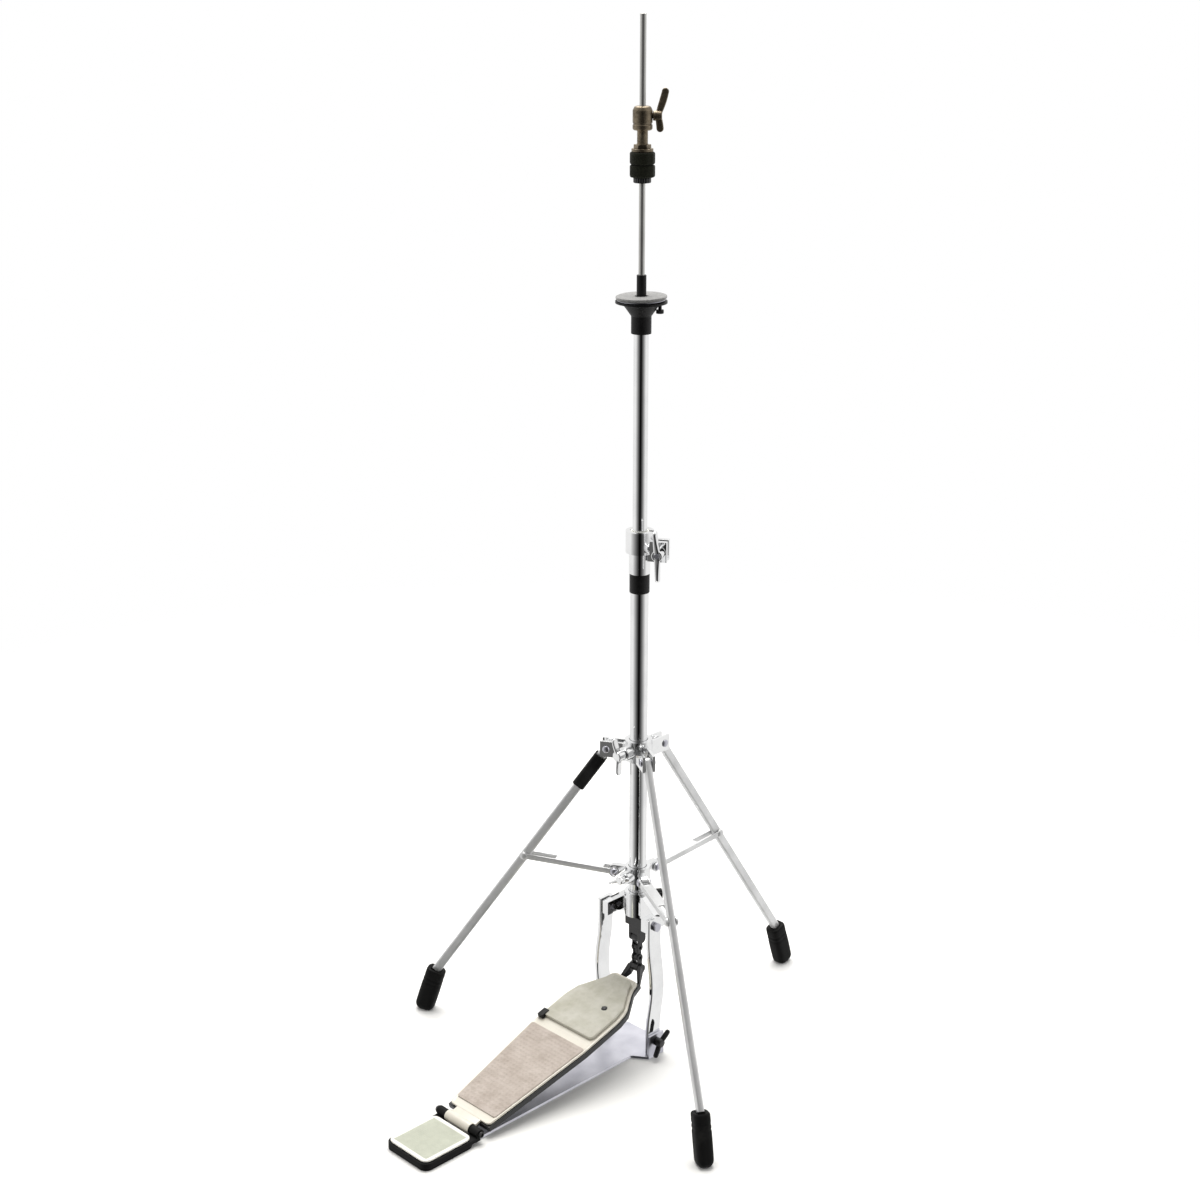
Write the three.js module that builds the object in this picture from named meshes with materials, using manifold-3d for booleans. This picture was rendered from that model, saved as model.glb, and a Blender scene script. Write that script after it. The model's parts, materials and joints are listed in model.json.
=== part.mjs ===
// Hi-hat stand with clutch and cymbal seat: pedal, linkage, folding tripod, two tubes and pull rod.
// Millimetres, +Z up. The origin is on the stand's axis at floor level and the pedal's heel points to -Y.
import * as THREE from "three";
import { mergeVertices } from "three/addons/utils/BufferGeometryUtils.js";
import Module from "manifold-3d";

const wasm = await Module();
wasm.setup();
const DEG = Math.PI / 180;

// ---- clearances -------------------------------------------------------------------------------
const GAP = 0.3; // between two pieces that touch or run on each other
const SIDE_GAP = 0.4; // beside a blade that swings in a fork
const CHAIN_PLAY = 1.3; // round the toe pin, where the pedal linkage's loop is open
const PAST = 1; // how far a cutting solid passes the face that it opens

// ---- heel and sole ----------------------------------------------------------------------------
const pedalReach = 270; // from the heel hinge to the stand's axis
const hingeZ = 11;
const hingePinRadius = 2;
const hingePinHead = { radius: 4.4, length: 4.7 };
const hingePinClip = { radius: 3.4, length: 2.2 };
const knuckleRadius = 5;
const knuckleHalf = 19; // half the footboard's knuckle
const knuckleGap = 1; // between the footboard's knuckle and each of the heel's
const knuckleRoom = 1.5; // round the footboard's knuckle
const heelLength = 69;
const heelSetback = 7; // from the hinge to the heel's front edge
const heelHalfWidth = 33;
const heelCorner = 9;
const heelBaseHeight = 8;
const heelPlateThick = 2.4;
const heelBorder = 2;
const soleThick = 3;
const soleHalfWidth = 27;
const soleFront = 14;
const soleHeelPast = 28; // how far the sole plate runs past the hinge into the heel
const soleShoulder = 12; // length of the slope out to each ear
const soleScrewZ = 19;
const soleScrewRadius = 3;
const soleEarTop = 28;
const soleEarThick = 3;
const soleEarPast = 2; // how far each ear is wider than its strut, each side

// ---- footboard --------------------------------------------------------------------------------
const boardSlope = 16;
const boardStart = 12; // from the hinge's axis to the board's back edge
const boardHeelHalf = 33;
const boardWideHalf = 45;
const boardWideFrom = 150;
const boardShoulder = { before: 60, bend: 44, bendHalf: 42, neck: 16, neckHalf: 24 }; // before the tip
const boardTipHalf = 20;
const boardTop = 1.5; // top face above the hinge's axis, square to the board
const boardPlate = 2.6;
const boardRim = 1.6; // dark edge left showing round the plate
const boardSkirt = 7.5; // lowest edge of the skirts below the hinge's axis
const boardSkirtThick = 3;
const boardDeck = 2.2;
const boardTongue = 4; // thickness of the tongue to the hinge, below its axis
const gripThick = 1.2;
const gripStart = 24;
const gripInset = 3.5;
const toePadThick = 4;
const toePadLength = 92;
const toePadSetback = 7; // from the board's tip
const toePadInset = 6;
const padSpace = 14; // between the grip and the toe pad

// ---- toe fork, chain and link -----------------------------------------------------------------
const toePinRise = 3.44; // of the toe pin above the hinge's plane, square to the board
const toePinRadius = 1.8;
const toeForkAhead = 16.9; // from the board's tip to the toe pin
const toeForkFoot = 22; // how far the fork's foot reaches back under the board
const toeForkThick = 3.5;
const toeForkHalf = 16;
const toeEar = 3;
const toeEyeRadius = 5;
const chainPitch = 12.7;
const chainLinks = 3;
const chainHalfWidth = 5;
const chainPlate = 1.25;
const chainPlateRadius = 4.4;
const chainRoller = 3.6;
const chainEye = 5.2;
const linkEarDrop = 15.9; // from the link's bar down to the chain's top pin
const linkEarRadius = 5.5;
const linkBarHeight = 12;
const linkHalfWidth = 12.5;
const linkHalfDepth = 7;
const linkFloor = 5; // under the lower rod's end

// ---- frame ------------------------------------------------------------------------------------
const yokeClear = 3; // between the link's bar and the yoke
const yokeHeight = 29;
const yokeFloor = 7;
const yokeWall = 4.5;
const yokeDepth = 16; // of the arms, along Y
const yokeArmDrop = 3; // the arms' top below the yoke's top
const yokeEnd = 9; // thickness of the blocks at the arms' ends
const yokeEndHalf = 8; // half their height
const yokeEndInset = 2; // their back edge ahead of the strut's
const strutX = 38; // centre of each strut's ends
const strutBow = 5.5;
const strutThick = 5;
const strutDepth = 20;
const strutY = -13;
const strutBoltUp = 2; // the strut bolts above the yoke's bottom
const strutPast = 10; // the struts' top above their bolts
const strutStraight = 3; // straight stretch above the sole's ear
const strutBoltRadius = 3;
const boltHead = { radius: 5.5, length: 4 };
const knobAzimuth = 55;
const knobDrop = 8; // knob's axis below the yoke's top
const knob = { radius: 6.5, length: 11, neckRadius: 5, neck: 2, shankRadius: 3 };

// ---- tubes, height clamp and pull rod ---------------------------------------------------------
const baseTubeRadius = 10;
const baseTubeWall = 1;
const baseTubeLength = 442.7;
const clampNeck = 23.5; // height of the plain collar below the split ring
const clampNeckWall = 1;
const clampHeight = 24; // height of the split ring
const clampOver = 2; // how far the clamp stands above the base tube
const clampWall = 4.8;
const clampSlot = 4;
const clampLugThick = 6;
const clampLugHeight = 22;
const clampLugPast = 7; // lugs past the bolt's axis
const clampBoltOut = 8.9; // bolt's axis outside the ring
const clampBoltDrop = 8.5; // below the ring's middle
const clampBoltRadius = 3;
const clampBoltTail = 16;
const clampBoltHead = { radius: 6, length: 3.5 };
const clampAzimuth = 30;
const ringHeight = 21; // black ring under the clamp
const ringWall = 0.6;
const sleeveLength = 52; // nylon sleeve inside the base tube's top
const sleeveWall = 0.5;
const sleeveLip = 1.5;
const upperTubeWall = 1.6;
const upperTubeInside = 143; // how far it goes down past the clamp's top
const upperTubeShows = 211; // from the clamp to the seat
const rodRadius = 3.2;
const rodChamfer = 0.9;
const rodJointZ = 300; // where the upper rod screws into the lower one
const rodThread = 16; // how deep it goes in
const rodSocketWall = 1.25;
const springWire = 0.9;
const springClear = 1.55; // between the spring and the lower rod
const springTurns = 9;
const springLength = 94;
const springStop = { lip: 0.5, length: 6 }; // collar on the rod above the spring

// ---- cymbal seat ------------------------------------------------------------------------------
const seatSocket = 22; // how much of the upper tube the seat base takes in
const seatNeckWall = 2.4;
const seatNeckLength = 18;
const seatHeight = 33.5; // from the seat base's bottom to its flange's top
const seatFlangeRadius = 27;
const seatFlangeThick = 2;
const seatCupThick = 0.8;
const seatFeltThick = 3.4;
const seatFeltRadius = 26.5;
const seatCupInset = 1.5; // the cup's rim inside the felt's
const seatTilt = 1.5; // how far the felt is tipped up on the screw's side, in degrees
const seatAzimuth = 44; // where the tilt screw is
const seatPivotReach = 22; // from the axis to the tilt pivot, opposite the screw
const seatScrewReach = 19;
const seatScrewRadius = 2;
const seatScrewHead = { radius: 4, length: 4, room: 3 };
const seatSleeveWall = 1.5;
const seatSleeveShows = 26.5; // above the flange
const seatHolePlay = 1.8; // between the sleeve and the cup and felt

// ---- clutch -----------------------------------------------------------------------------------
const cymbalGap = 92; // bare rod between the seat's sleeve and the clutch
const rodAboveClutch = 88.5;
const clutchStemWall = 2.1;
const clutchStemPast = 0.5; // the stem below its bottom nut
const clutchStem = 52;
const clutchHead = 23.5;
const clutchHeadRadius = 10;
const clutchNutRadius = 9;
const clutchNutHeight = 7;
const clutchBottomNut = 5;
const clutchFeltRadius = 13;
const clutchFeltThick = 12.4;
const clutchPlate = { radius: 11, height: 3 }; // washer of one piece with the lock nut
const clutchScrewUp = 14; // above the head's bottom
const clutchScrewRadius = 3;
const clutchAzimuth = 44;

// ---- tripod -----------------------------------------------------------------------------------
const legAzimuths = { left: 210, right: 330, back: 90 };
const collarWall = 4.9;
const braceCollarWall = 3.9;
const braceCollarUp = 12; // above the yoke
const braceCollarHeight = 18.5;
const bracePivotUp = 9; // above the brace collar's bottom
const bracePivotOut = 11.7; // outside the brace collar
const braceTongueRadius = 7.5;
const legCollarUp = 148; // above the brace collar's bottom
const legCollarHeight = 24;
const legHingeUp = 10; // above the leg collar's bottom
const legHingeOut = 19.7; // outside the leg collar
const legLugThick = 3;
const legLugHeight = 18;
const legLugPast = 7; // lugs past the hinge's axis
const legAngle = 34.2; // from vertical, open
const legDepth = 10.5;
const legThick = 7.5;
const braceAlongLeg = 173; // from the leg's hinge to the brace's pivot
const braceDepth = 6.4;
const braceEye = 5; // radius of the straps' round ends
const braceSheet = 2;
const braceWeb = { start: 13, end: 70 };
const pinRadius = 2.4;
const pinHeadRadius = 4.2;
const pinHead = 1.8;
const footTopZ = 53;
const footSlant = 18; // from vertical
const footDepth = 23;
const footThick = 19;
const footRound = 8;
const footSocket = 14; // how far the leg goes into its foot
const legSleeveStart = 13;
const legSleeveLength = 47;
const legSleeveWall = 1.8;
const legBoss = { radius: 8, length: 8.2 };
const braceBoss = { radius: 7.5, length: 7.2 };
const collarScrewRadius = 3.5;

// ---- wings: hub, where the wings leave it, their reach, lean and thickness ----------------------
const clampWing = { hub: 6, length: 15, root: 10.2, reach: 28, lean: 1, tip: 4.5, thick: 5.5 };
const clutchWing = {
  hub: 5, length: 9, root: 2.5, reach: 27, lean: 6, tip: 3.6, thick: 3,
  other: { reach: 16, lean: 1 }, // the second wing
};
const legWing = { hub: 6, length: 11, root: 4, reach: 21, lean: 2, tip: 4, thick: 3.4 };
const braceWing = { hub: 5, length: 9, root: 3, reach: 17, lean: 2, tip: 3.4, thick: 3 };
const soleWing = { hub: 5, length: 9, root: 3, reach: 17.5, lean: 2, tip: 3.2, thick: 3 };

// ---- values that follow -----------------------------------------------------------------------
const slope = boardSlope * DEG;
const hingeY = -pedalReach;
const heelFront = hingeY - heelSetback;
const heelBack = heelFront - heelLength;
const soleBack = hingeY - soleHeelPast;
const toePinU = (pedalReach + toePinRise * Math.sin(slope)) / Math.cos(slope);
const toePinZ = hingeZ + toePinU * Math.sin(slope) + toePinRise * Math.cos(slope);
const boardEnd = toePinU - toeForkAhead;
const toePadEnd = boardEnd - toePadSetback;
const toePadStart = toePadEnd - toePadLength;
const gripEnd = toePadStart - padSpace;
const chainTopZ = toePinZ + chainLinks * chainPitch;
const linkBarBottom = chainTopZ + linkEarDrop;
const linkBarTop = linkBarBottom + linkBarHeight;

const yokeBottom = linkBarTop + yokeClear;
const yokeTop = yokeBottom + yokeHeight;
const yokeRadius = baseTubeRadius + GAP + yokeWall;
const strutBoltZ = yokeBottom + strutBoltUp;
const strutInnerX = strutX - strutThick / 2;
const strutOuterX = strutX + strutThick / 2;
const strutFace = [strutY - strutDepth / 2, strutY + strutDepth / 2];
const yokeArmEnd = strutInnerX - GAP;
const soleEarX = strutOuterX + GAP;

const baseTubeBore = baseTubeRadius - baseTubeWall;
const baseTubeBottom = yokeBottom + yokeFloor + GAP;
const baseTubeTop = baseTubeBottom + baseTubeLength;
const clampTop = baseTubeTop + clampOver;
const clampRingBottom = clampTop - clampHeight;
const clampBottom = clampRingBottom - clampNeck;
const clampBore = baseTubeRadius + GAP;
const clampOuter = clampBore + clampWall;
const clampBoltZ = clampRingBottom + clampHeight / 2 - clampBoltDrop;
const clampLugFace = clampSlot / 2 + clampLugThick;
const clampBoltReach = clampOuter + clampBoltOut;
const upperTubeRadius = baseTubeBore - sleeveWall - 2 * GAP;
const lowerRodRadius = rodRadius + GAP + rodSocketWall;
const springRadius = lowerRodRadius + springClear + springWire;
const springBottom = yokeBottom + yokeFloor;
const springTop = springBottom + springLength;

const seatBottom = clampTop + upperTubeShows;
const upperTubeTop = seatBottom + seatSocket;
const seatFlangeTop = seatBottom + seatHeight;
const seatFlangeBottom = seatFlangeTop - seatFlangeThick;
const seatSleeveRadius = rodRadius + GAP + seatSleeveWall;
const seatSleeveTop = seatFlangeTop + seatSleeveShows;
const clutchBottom = seatSleeveTop + cymbalGap;
const clutchStemRadius = rodRadius + GAP + clutchStemWall;
const clutchHeadBottom = clutchBottom + clutchStem;
const clutchHeadTop = clutchHeadBottom + clutchHead;
const rodTop = clutchHeadTop + rodAboveClutch;

const collarBore = baseTubeRadius + SIDE_GAP;
const collarRadius = collarBore + collarWall;
const braceCollarRadius = collarBore + braceCollarWall;
const braceCollarBottom = yokeTop + braceCollarUp;
const bracePivotZ = braceCollarBottom + bracePivotUp;
const bracePivotReach = braceCollarRadius + bracePivotOut;
const legCollarBottom = braceCollarBottom + legCollarUp;
const legHingeZ = legCollarBottom + legHingeUp;
const legHingeReach = collarRadius + legHingeOut;
const lugInner = legThick / 2 + SIDE_GAP;
const legFloor = legHingeZ / Math.cos(legAngle * DEG); // from the hinge to the floor, along the leg
const legAtFoot = (legHingeZ - footTopZ) / Math.cos(legAngle * DEG);
const legAtBrace = {
  r: legHingeReach + braceAlongLeg * Math.sin(legAngle * DEG),
  z: legHingeZ - braceAlongLeg * Math.cos(legAngle * DEG),
};
const braceLength = Math.hypot(legAtBrace.r - bracePivotReach, legAtBrace.z - bracePivotZ);
const braceAngle = Math.atan2(legAtBrace.z - bracePivotZ, legAtBrace.r - bracePivotReach);

// Half-width of the footboard at distance u from the hinge's axis, as corner points.
const boardOutline = [
  [boardStart, boardHeelHalf],
  [boardWideFrom, boardWideHalf],
  [boardEnd - boardShoulder.before, boardWideHalf],
  [boardEnd - boardShoulder.bend, boardShoulder.bendHalf],
  [boardEnd - boardShoulder.neck, boardShoulder.neckHalf],
  [boardEnd, boardTipHalf],
];

// ---- finishes ---------------------------------------------------------------------------------
const finish = (color, roughness, metalness) => ({ color, roughness, metalness });
const chrome = finish(0xd9dbe0, 0.12, 1);
const bronze = finish(0x8d7458, 0.35, 0.9);
const blackRubber = finish(0x151515, 0.85, 0);
const blackMetal = finish(0x1c1c1e, 0.45, 0.6);
const blackPlastic = finish(0x121212, 0.5, 0);
const steel = finish(0xb9bbc6, 0.3, 1);
const cream = finish(0xe8e4d6, 0.45, 0.2);
const gripTan = finish(0xc9b5a4, 0.8, 0);
const toeTan = finish(0xc6c1a8, 0.75, 0);
const greyFelt = finish(0x9a9b9c, 0.95, 0);
const darkFelt = finish(0x2d2f28, 0.95, 0);
const nylon = finish(0xe2e2dc, 0.5, 0);

// ---- solids -----------------------------------------------------------------------------------
// A closed geometry as a manifold solid.
function solid(geometry) {
  const bare = geometry.index ? geometry.toNonIndexed() : geometry.clone();
  bare.deleteAttribute("normal");
  bare.deleteAttribute("uv");
  const merged = mergeVertices(bare, 1e-4);
  return new wasm.Manifold(
    new wasm.Mesh({
      numProp: 3,
      vertProperties: merged.attributes.position.array,
      triVerts: new Uint32Array(merged.index.array),
    }),
  );
}

// A manifold solid as a three.js geometry with flat faces.
function geometryOf(body) {
  const m = body.getMesh();
  const g = new THREE.BufferGeometry();
  g.setAttribute("position", new THREE.BufferAttribute(new Float32Array(m.vertProperties), 3));
  g.setIndex(new THREE.BufferAttribute(new Uint32Array(m.triVerts), 1));
  const flat = g.toNonIndexed();
  flat.computeVertexNormals();
  return flat;
}

const join = (first, ...rest) => rest.reduce((a, b) => a.add(b), first);
const cut = (first, ...rest) => rest.reduce((a, b) => a.subtract(b), first);
const bothSides = (body, axis) => body.add(body.mirror(axis));

// Upright cylinder or cone frustum on the Z axis.
function post(radius, low, high, sides = 24, topRadius = radius) {
  const g = new THREE.CylinderGeometry(topRadius, radius, high - low, sides);
  return solid(g.rotateX(Math.PI / 2).translate(0, 0, (low + high) / 2));
}

// Cylinder along X, Y or Z through a point.
function barAlong(axis, radius, low, high, [x, y, z] = [0, 0, 0], sides = 16) {
  const g = new THREE.CylinderGeometry(radius, radius, high - low, sides);
  g.translate(0, (low + high) / 2, 0);
  if (axis === "x") g.rotateZ(-Math.PI / 2);
  if (axis === "z") g.rotateX(Math.PI / 2);
  return solid(g.translate(x, y, z));
}

function block([x0, x1], [y0, y1], [z0, z1]) {
  const g = new THREE.BoxGeometry(x1 - x0, y1 - y0, z1 - z0);
  return solid(g.translate((x0 + x1) / 2, (y0 + y1) / 2, (z0 + z1) / 2));
}

// Turned shape: a closed outline of [radius, height] points round the Z axis.
function turned(points, sides = 26) {
  const outline = points.map(([r, z]) => new THREE.Vector2(r, z));
  return solid(new THREE.LatheGeometry(outline, sides).rotateX(Math.PI / 2));
}

function tube(outer, inner, low, high, sides = 26) {
  return turned([[inner, low], [outer, low], [outer, high], [inner, high], [inner, low]], sides);
}

// Plate from an outline in XY, between two heights.
function plate(shape, low, high, curveSegments = 5) {
  const g = new THREE.ExtrudeGeometry(shape, { depth: high - low, bevelEnabled: false, curveSegments });
  return solid(g.translate(0, 0, low));
}

// Plate from an outline in XZ, between two Y values.
function sidePlate(shape, low, high, curveSegments = 5) {
  const g = new THREE.ExtrudeGeometry(shape, { depth: high - low, bevelEnabled: false, curveSegments });
  return solid(g.rotateX(Math.PI / 2).translate(0, high, 0));
}

// Plate from an outline in YZ, between two X values.
function crossPlate(shape, low, high, curveSegments = 5) {
  const g = new THREE.ExtrudeGeometry(shape, { depth: high - low, bevelEnabled: false, curveSegments });
  return solid(g.rotateZ(Math.PI / 2).rotateY(Math.PI / 2).translate(low, 0, 0));
}

const polygon = (points) => new THREE.Shape(points.map(([x, y]) => new THREE.Vector2(x, y)));

// Closed outline from the points of its right half, mirrored in X.
const symmetric = (half) => polygon([...half, ...half.toReversed().map(([x, y]) => [-x, y])]);

// Rectangle with round corners, given by its half-sizes and middle.
function roundRect(halfX, halfY, r, middleY = 0) {
  const s = new THREE.Shape();
  const [x, y0, y1] = [halfX - r, middleY - halfY + r, middleY + halfY - r];
  s.absarc(x, y0, r, -Math.PI / 2, 0);
  s.absarc(x, y1, r, 0, Math.PI / 2);
  s.absarc(-x, y1, r, Math.PI / 2, Math.PI);
  s.absarc(-x, y0, r, Math.PI, Math.PI * 1.5);
  return s;
}

// Round-ended bar between two points of its own plane.
function slotShape(x0, x1, r) {
  const s = new THREE.Shape();
  s.absarc(x1, 0, r, -Math.PI / 2, Math.PI / 2);
  s.absarc(x0, 0, r, Math.PI / 2, Math.PI * 1.5);
  return s;
}

// ---- the assembly -----------------------------------------------------------------------------
const stand = new THREE.Group();

function piece(name, body, look, parent = stand) {
  const material = new THREE.MeshStandardMaterial({ ...look, name });
  const mesh = new THREE.Mesh(geometryOf(body), material);
  mesh.name = name;
  parent.add(mesh);
  return mesh;
}

// A group turned to an azimuth round the stand's axis, so that its +X points outwards there.
function outwards(azimuth, parent = stand) {
  const g = new THREE.Group();
  g.rotation.z = azimuth * DEG;
  parent.add(g);
  return g;
}

// One wing, from the hub towards +Y.
function wingSide({ hub, length, root, tip, thick }, { reach, lean }) {
  const side = new THREE.Shape();
  const middle = root + lean + tip;
  side.moveTo(root, 0);
  side.lineTo(root, hub / 2);
  side.lineTo(middle - tip, reach - tip);
  side.absarc(middle, reach - tip, tip, Math.PI, 0, true);
  side.lineTo(length, hub / 2);
  side.lineTo(length, 0);
  return plate(side, -thick / 2, thick / 2);
}

// Wing screw or wing nut along +X from x = 0: hub, two wings in the XY plane and, to -X, a shank or a bore.
function wing(spec, { shankRadius = 0, shank = 0, bore = 0 }) {
  const { hub, length, other = spec } = spec;
  const second = wingSide(spec, other).mirror([0, 1, 0]);
  const body = join(barAlong("x", hub, 0, length), wingSide(spec, spec), second);
  if (shank) return join(body, barAlong("x", shankRadius, -shank, PAST));
  return cut(body, barAlong("x", bore, -PAST, length + PAST));
}

// Puts a wing or knob at a place on a radial line, turned by spin about the screw's axis.
function placeScrew(name, body, look, { azimuth, from, z, spin }) {
  const mesh = piece(name, body, look, outwards(azimuth));
  mesh.position.set(from, 0, z);
  mesh.rotation.x = spin * DEG;
}

// Pin across a fork, along Y, with a head at each end.
function forkPin(halfSpan, x, z) {
  const end = halfSpan + GAP;
  const head = barAlong("y", pinHeadRadius, end, end + pinHead, [x, 0, z], 14);
  return join(barAlong("y", pinRadius, -end, end, [x, 0, z], 14), bothSides(head, [0, 1, 0]));
}

// Hole along Y for a tripod pin, right through at a place in XZ.
const pinHole = (x, z) => barAlong("y", pinRadius + GAP, -footDepth, footDepth, [x, 0, z], 14);

// ---- sole and heel ----------------------------------------------------------------------------
function makeSole() {
  const earOut = soleEarX + soleEarThick;
  const earY = [strutFace[0] - soleEarPast, strutFace[1] + soleEarPast];
  const outline = symmetric([
    [soleHalfWidth, soleBack],
    [soleHalfWidth, earY[0] - soleShoulder],
    [earOut, earY[0]],
    [earOut, earY[1]],
    [soleHalfWidth, soleFront],
  ]);
  const ears = bothSides(block([soleEarX, earOut], earY, [0, soleEarTop]), [1, 0, 0]);
  const screwAt = [0, strutY, soleScrewZ];
  const hole = barAlong("x", soleScrewRadius + GAP, -earOut - PAST, earOut + PAST, screwAt);
  piece("sole_plate", cut(join(plate(outline, 0, soleThick), ears), hole), steel);

  const face = earOut + GAP;
  const inside = strutInnerX - soleEarThick;
  const screw = wing(soleWing, { shankRadius: soleScrewRadius, shank: face - inside });
  const right = piece("base_wing_screw", screw, blackMetal);
  right.position.set(face, strutY, soleScrewZ);
  right.rotation.x = 50 * DEG;
  const shank = barAlong("x", soleScrewRadius, -face - PAST, -inside, screwAt);
  const head = barAlong("x", boltHead.radius, -face - boltHead.length, -face, screwAt, 6);
  piece("base_pivot_bolt", join(shank, head), steel);
}

function makeHeel() {
  const w = heelHalfWidth;
  const inner = knuckleHalf + knuckleGap;
  const middle = (heelBack + heelFront) / 2;
  const knuckle = join(
    barAlong("x", knuckleRadius, inner, w, [0, hingeY, hingeZ]),
    block([inner, w], [heelFront - PAST, hingeY], [soleThick + 2 * GAP, heelBaseHeight]),
  );
  const recess = block(
    [-soleHalfWidth - GAP, soleHalfWidth + GAP],
    [soleBack - GAP, heelFront + PAST],
    [-PAST, soleThick + GAP],
  );
  const slab = plate(roundRect(w, heelLength / 2, heelCorner, middle), 0, heelBaseHeight);
  const front = block([-w, w], [heelFront - heelCorner, heelFront], [soleThick + PAST, heelBaseHeight]);
  const base = cut(
    join(slab, front, bothSides(knuckle, [1, 0, 0])),
    recess,
    barAlong("x", hingePinRadius + GAP, -w - PAST, w + PAST, [0, hingeY, hingeZ], 14),
    barAlong("x", knuckleRadius + knuckleRoom, -inner, inner, [0, hingeY, hingeZ]),
  );
  piece("heel_base", base, blackRubber);

  const low = heelBaseHeight + GAP;
  const half = { x: w - heelBorder, y: heelLength / 2 - heelBorder };
  const top = roundRect(half.x, half.y, heelCorner - heelBorder, middle);
  piece("heel_plate", plate(top, low, low + heelPlateThick), cream);

  const at = [0, hingeY, hingeZ];
  const end = w + GAP;
  const pin = join(
    barAlong("x", hingePinRadius, -end - PAST, end + PAST, at, 14),
    barAlong("x", hingePinHead.radius, -end - hingePinHead.length, -end, at),
    barAlong("x", hingePinClip.radius, end, end + hingePinClip.length, at),
  );
  piece("heel_hinge_pin", pin, blackMetal);
}

// ---- footboard --------------------------------------------------------------------------------
// The footboard's outline between two distances from the hinge, drawn in by inset at its sides.
function boardShape(from, to, inset) {
  const halfAt = (u) => {
    const k = Math.max(1, boardOutline.findIndex(([v]) => v >= u));
    const [[u0, w0], [u1, w1]] = [boardOutline[k - 1], boardOutline[k]];
    return w0 + ((w1 - w0) * (u - u0)) / (u1 - u0) - inset;
  };
  const corners = boardOutline.map(([u]) => u).filter((u) => u > from && u < to);
  return symmetric([from, ...corners, to].map((u) => [halfAt(u), u]));
}

// Fork ahead of the board's tip: a foot under the tip and two arms that rise and close in on the toe pin.
function toeForkBody() {
  const ear = chainHalfWidth + GAP;
  const earOut = ear + toeEar;
  const top = -boardSkirt - GAP;
  const low = top - toeForkThick;
  const front = boardEnd + GAP;
  const foot = boardEnd - toeForkFoot;
  const lean = Math.atan2(toePinRise - (top + low) / 2, toePinU - front);
  const eye = { u: toeEyeRadius * Math.sin(lean), w: toeEyeRadius * Math.cos(lean) };
  const side = polygon([
    [foot, low],
    [front, low],
    [toePinU + eye.u, toePinRise - eye.w],
    [toePinU - eye.u, toePinRise + eye.w],
    [front, top],
    [foot, top],
  ]);
  const end = toePinU + toeEyeRadius + PAST;
  const outer = symmetric([[toeForkHalf, foot], [toeForkHalf, front], [earOut, toePinU], [earOut, end]]);
  const neck = toePinU - chainEye - PAST;
  const inner = symmetric([[toeForkHalf - toeEar, front], [ear, neck], [ear, end + PAST]]);
  const pinAt = [0, toePinU, toePinRise];
  const arms = join(
    crossPlate(side, -toeForkHalf, toeForkHalf),
    barAlong("x", toeEyeRadius, -earOut, earOut, pinAt),
  );
  const reach = [low - PAST, toePinRise + toeEyeRadius + PAST];
  const fork = cut(arms.intersect(plate(outer, ...reach)), plate(inner, reach[0] - PAST, reach[1] + PAST));
  return join(fork, barAlong("x", toePinRadius, -earOut, earOut, pinAt, 14));
}

function makeFootboard() {
  const board = new THREE.Group();
  board.position.set(0, hingeY, hingeZ);
  board.rotation.x = slope;
  stand.add(board);

  const plateLow = boardTop - boardPlate;
  const deckTop = plateLow - GAP;
  const deckLow = deckTop - boardDeck;
  const inside = boardShape(boardStart + boardSkirtThick, boardEnd - boardSkirtThick, boardSkirtThick);
  const shell = cut(
    plate(boardShape(boardStart, boardEnd, 0), -boardSkirt, deckTop),
    plate(inside, -boardSkirt - PAST, deckLow),
  );
  const frame = cut(
    join(
      shell,
      barAlong("x", knuckleRadius, -knuckleHalf, knuckleHalf),
      block([-knuckleHalf, knuckleHalf], [0, boardStart + PAST], [-boardTongue, deckTop]),
    ),
    barAlong("x", hingePinRadius + GAP, -knuckleHalf - PAST, knuckleHalf + PAST, [0, 0, 0], 14),
  );
  piece("footboard_frame", frame, blackMetal, board);

  const top = boardShape(boardStart + boardRim, boardEnd - boardRim, boardRim);
  piece("footboard_plate", plate(top, plateLow, boardTop), cream, board);
  const padLow = boardTop + GAP;
  const grip = plate(boardShape(gripStart, gripEnd, gripInset), padLow, padLow + gripThick);
  piece("footboard_grip", grip, gripTan, board);
  const pad = plate(boardShape(toePadStart, toePadEnd, toePadInset), padLow, padLow + toePadThick);
  piece("toe_pad", pad, toeTan, board);
  piece("toe_fork", toeForkBody(), blackMetal, board);
}

// ---- chain and link ---------------------------------------------------------------------------
function makeLink() {
  const slot = chainHalfWidth + GAP;
  const earOut = slot + toeEar;
  const deep = linkHalfDepth + PAST;
  const at = [0, 0, chainTopZ];
  const body = cut(
    join(
      block([-linkHalfWidth, linkHalfWidth], [-linkHalfDepth, linkHalfDepth], [linkBarBottom, linkBarTop]),
      block([-earOut, earOut], [-linkEarRadius, linkEarRadius], [chainTopZ, linkBarBottom + PAST]),
      barAlong("x", linkEarRadius, -earOut, earOut, at),
    ),
    block([-slot, slot], [-deep, deep], [chainTopZ - linkEarRadius - PAST, chainTopZ + chainEye + GAP]),
    post(lowerRodRadius + GAP, linkBarBottom + linkFloor - GAP, linkBarTop + PAST, 20),
  );
  piece("pull_link", join(body, barAlong("x", toePinRadius, -earOut, earOut, at, 14)), blackMetal);
}

// Link plate between two eyes of the chain.
function chainPlateAt(x, z) {
  const g = new THREE.ExtrudeGeometry(slotShape(z, z + chainPitch, chainPlateRadius), {
    depth: chainPlate, bevelEnabled: false, curveSegments: 4,
  });
  return solid(g.rotateY(-Math.PI / 2).translate(x + chainPlate, 0, 0));
}

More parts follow.
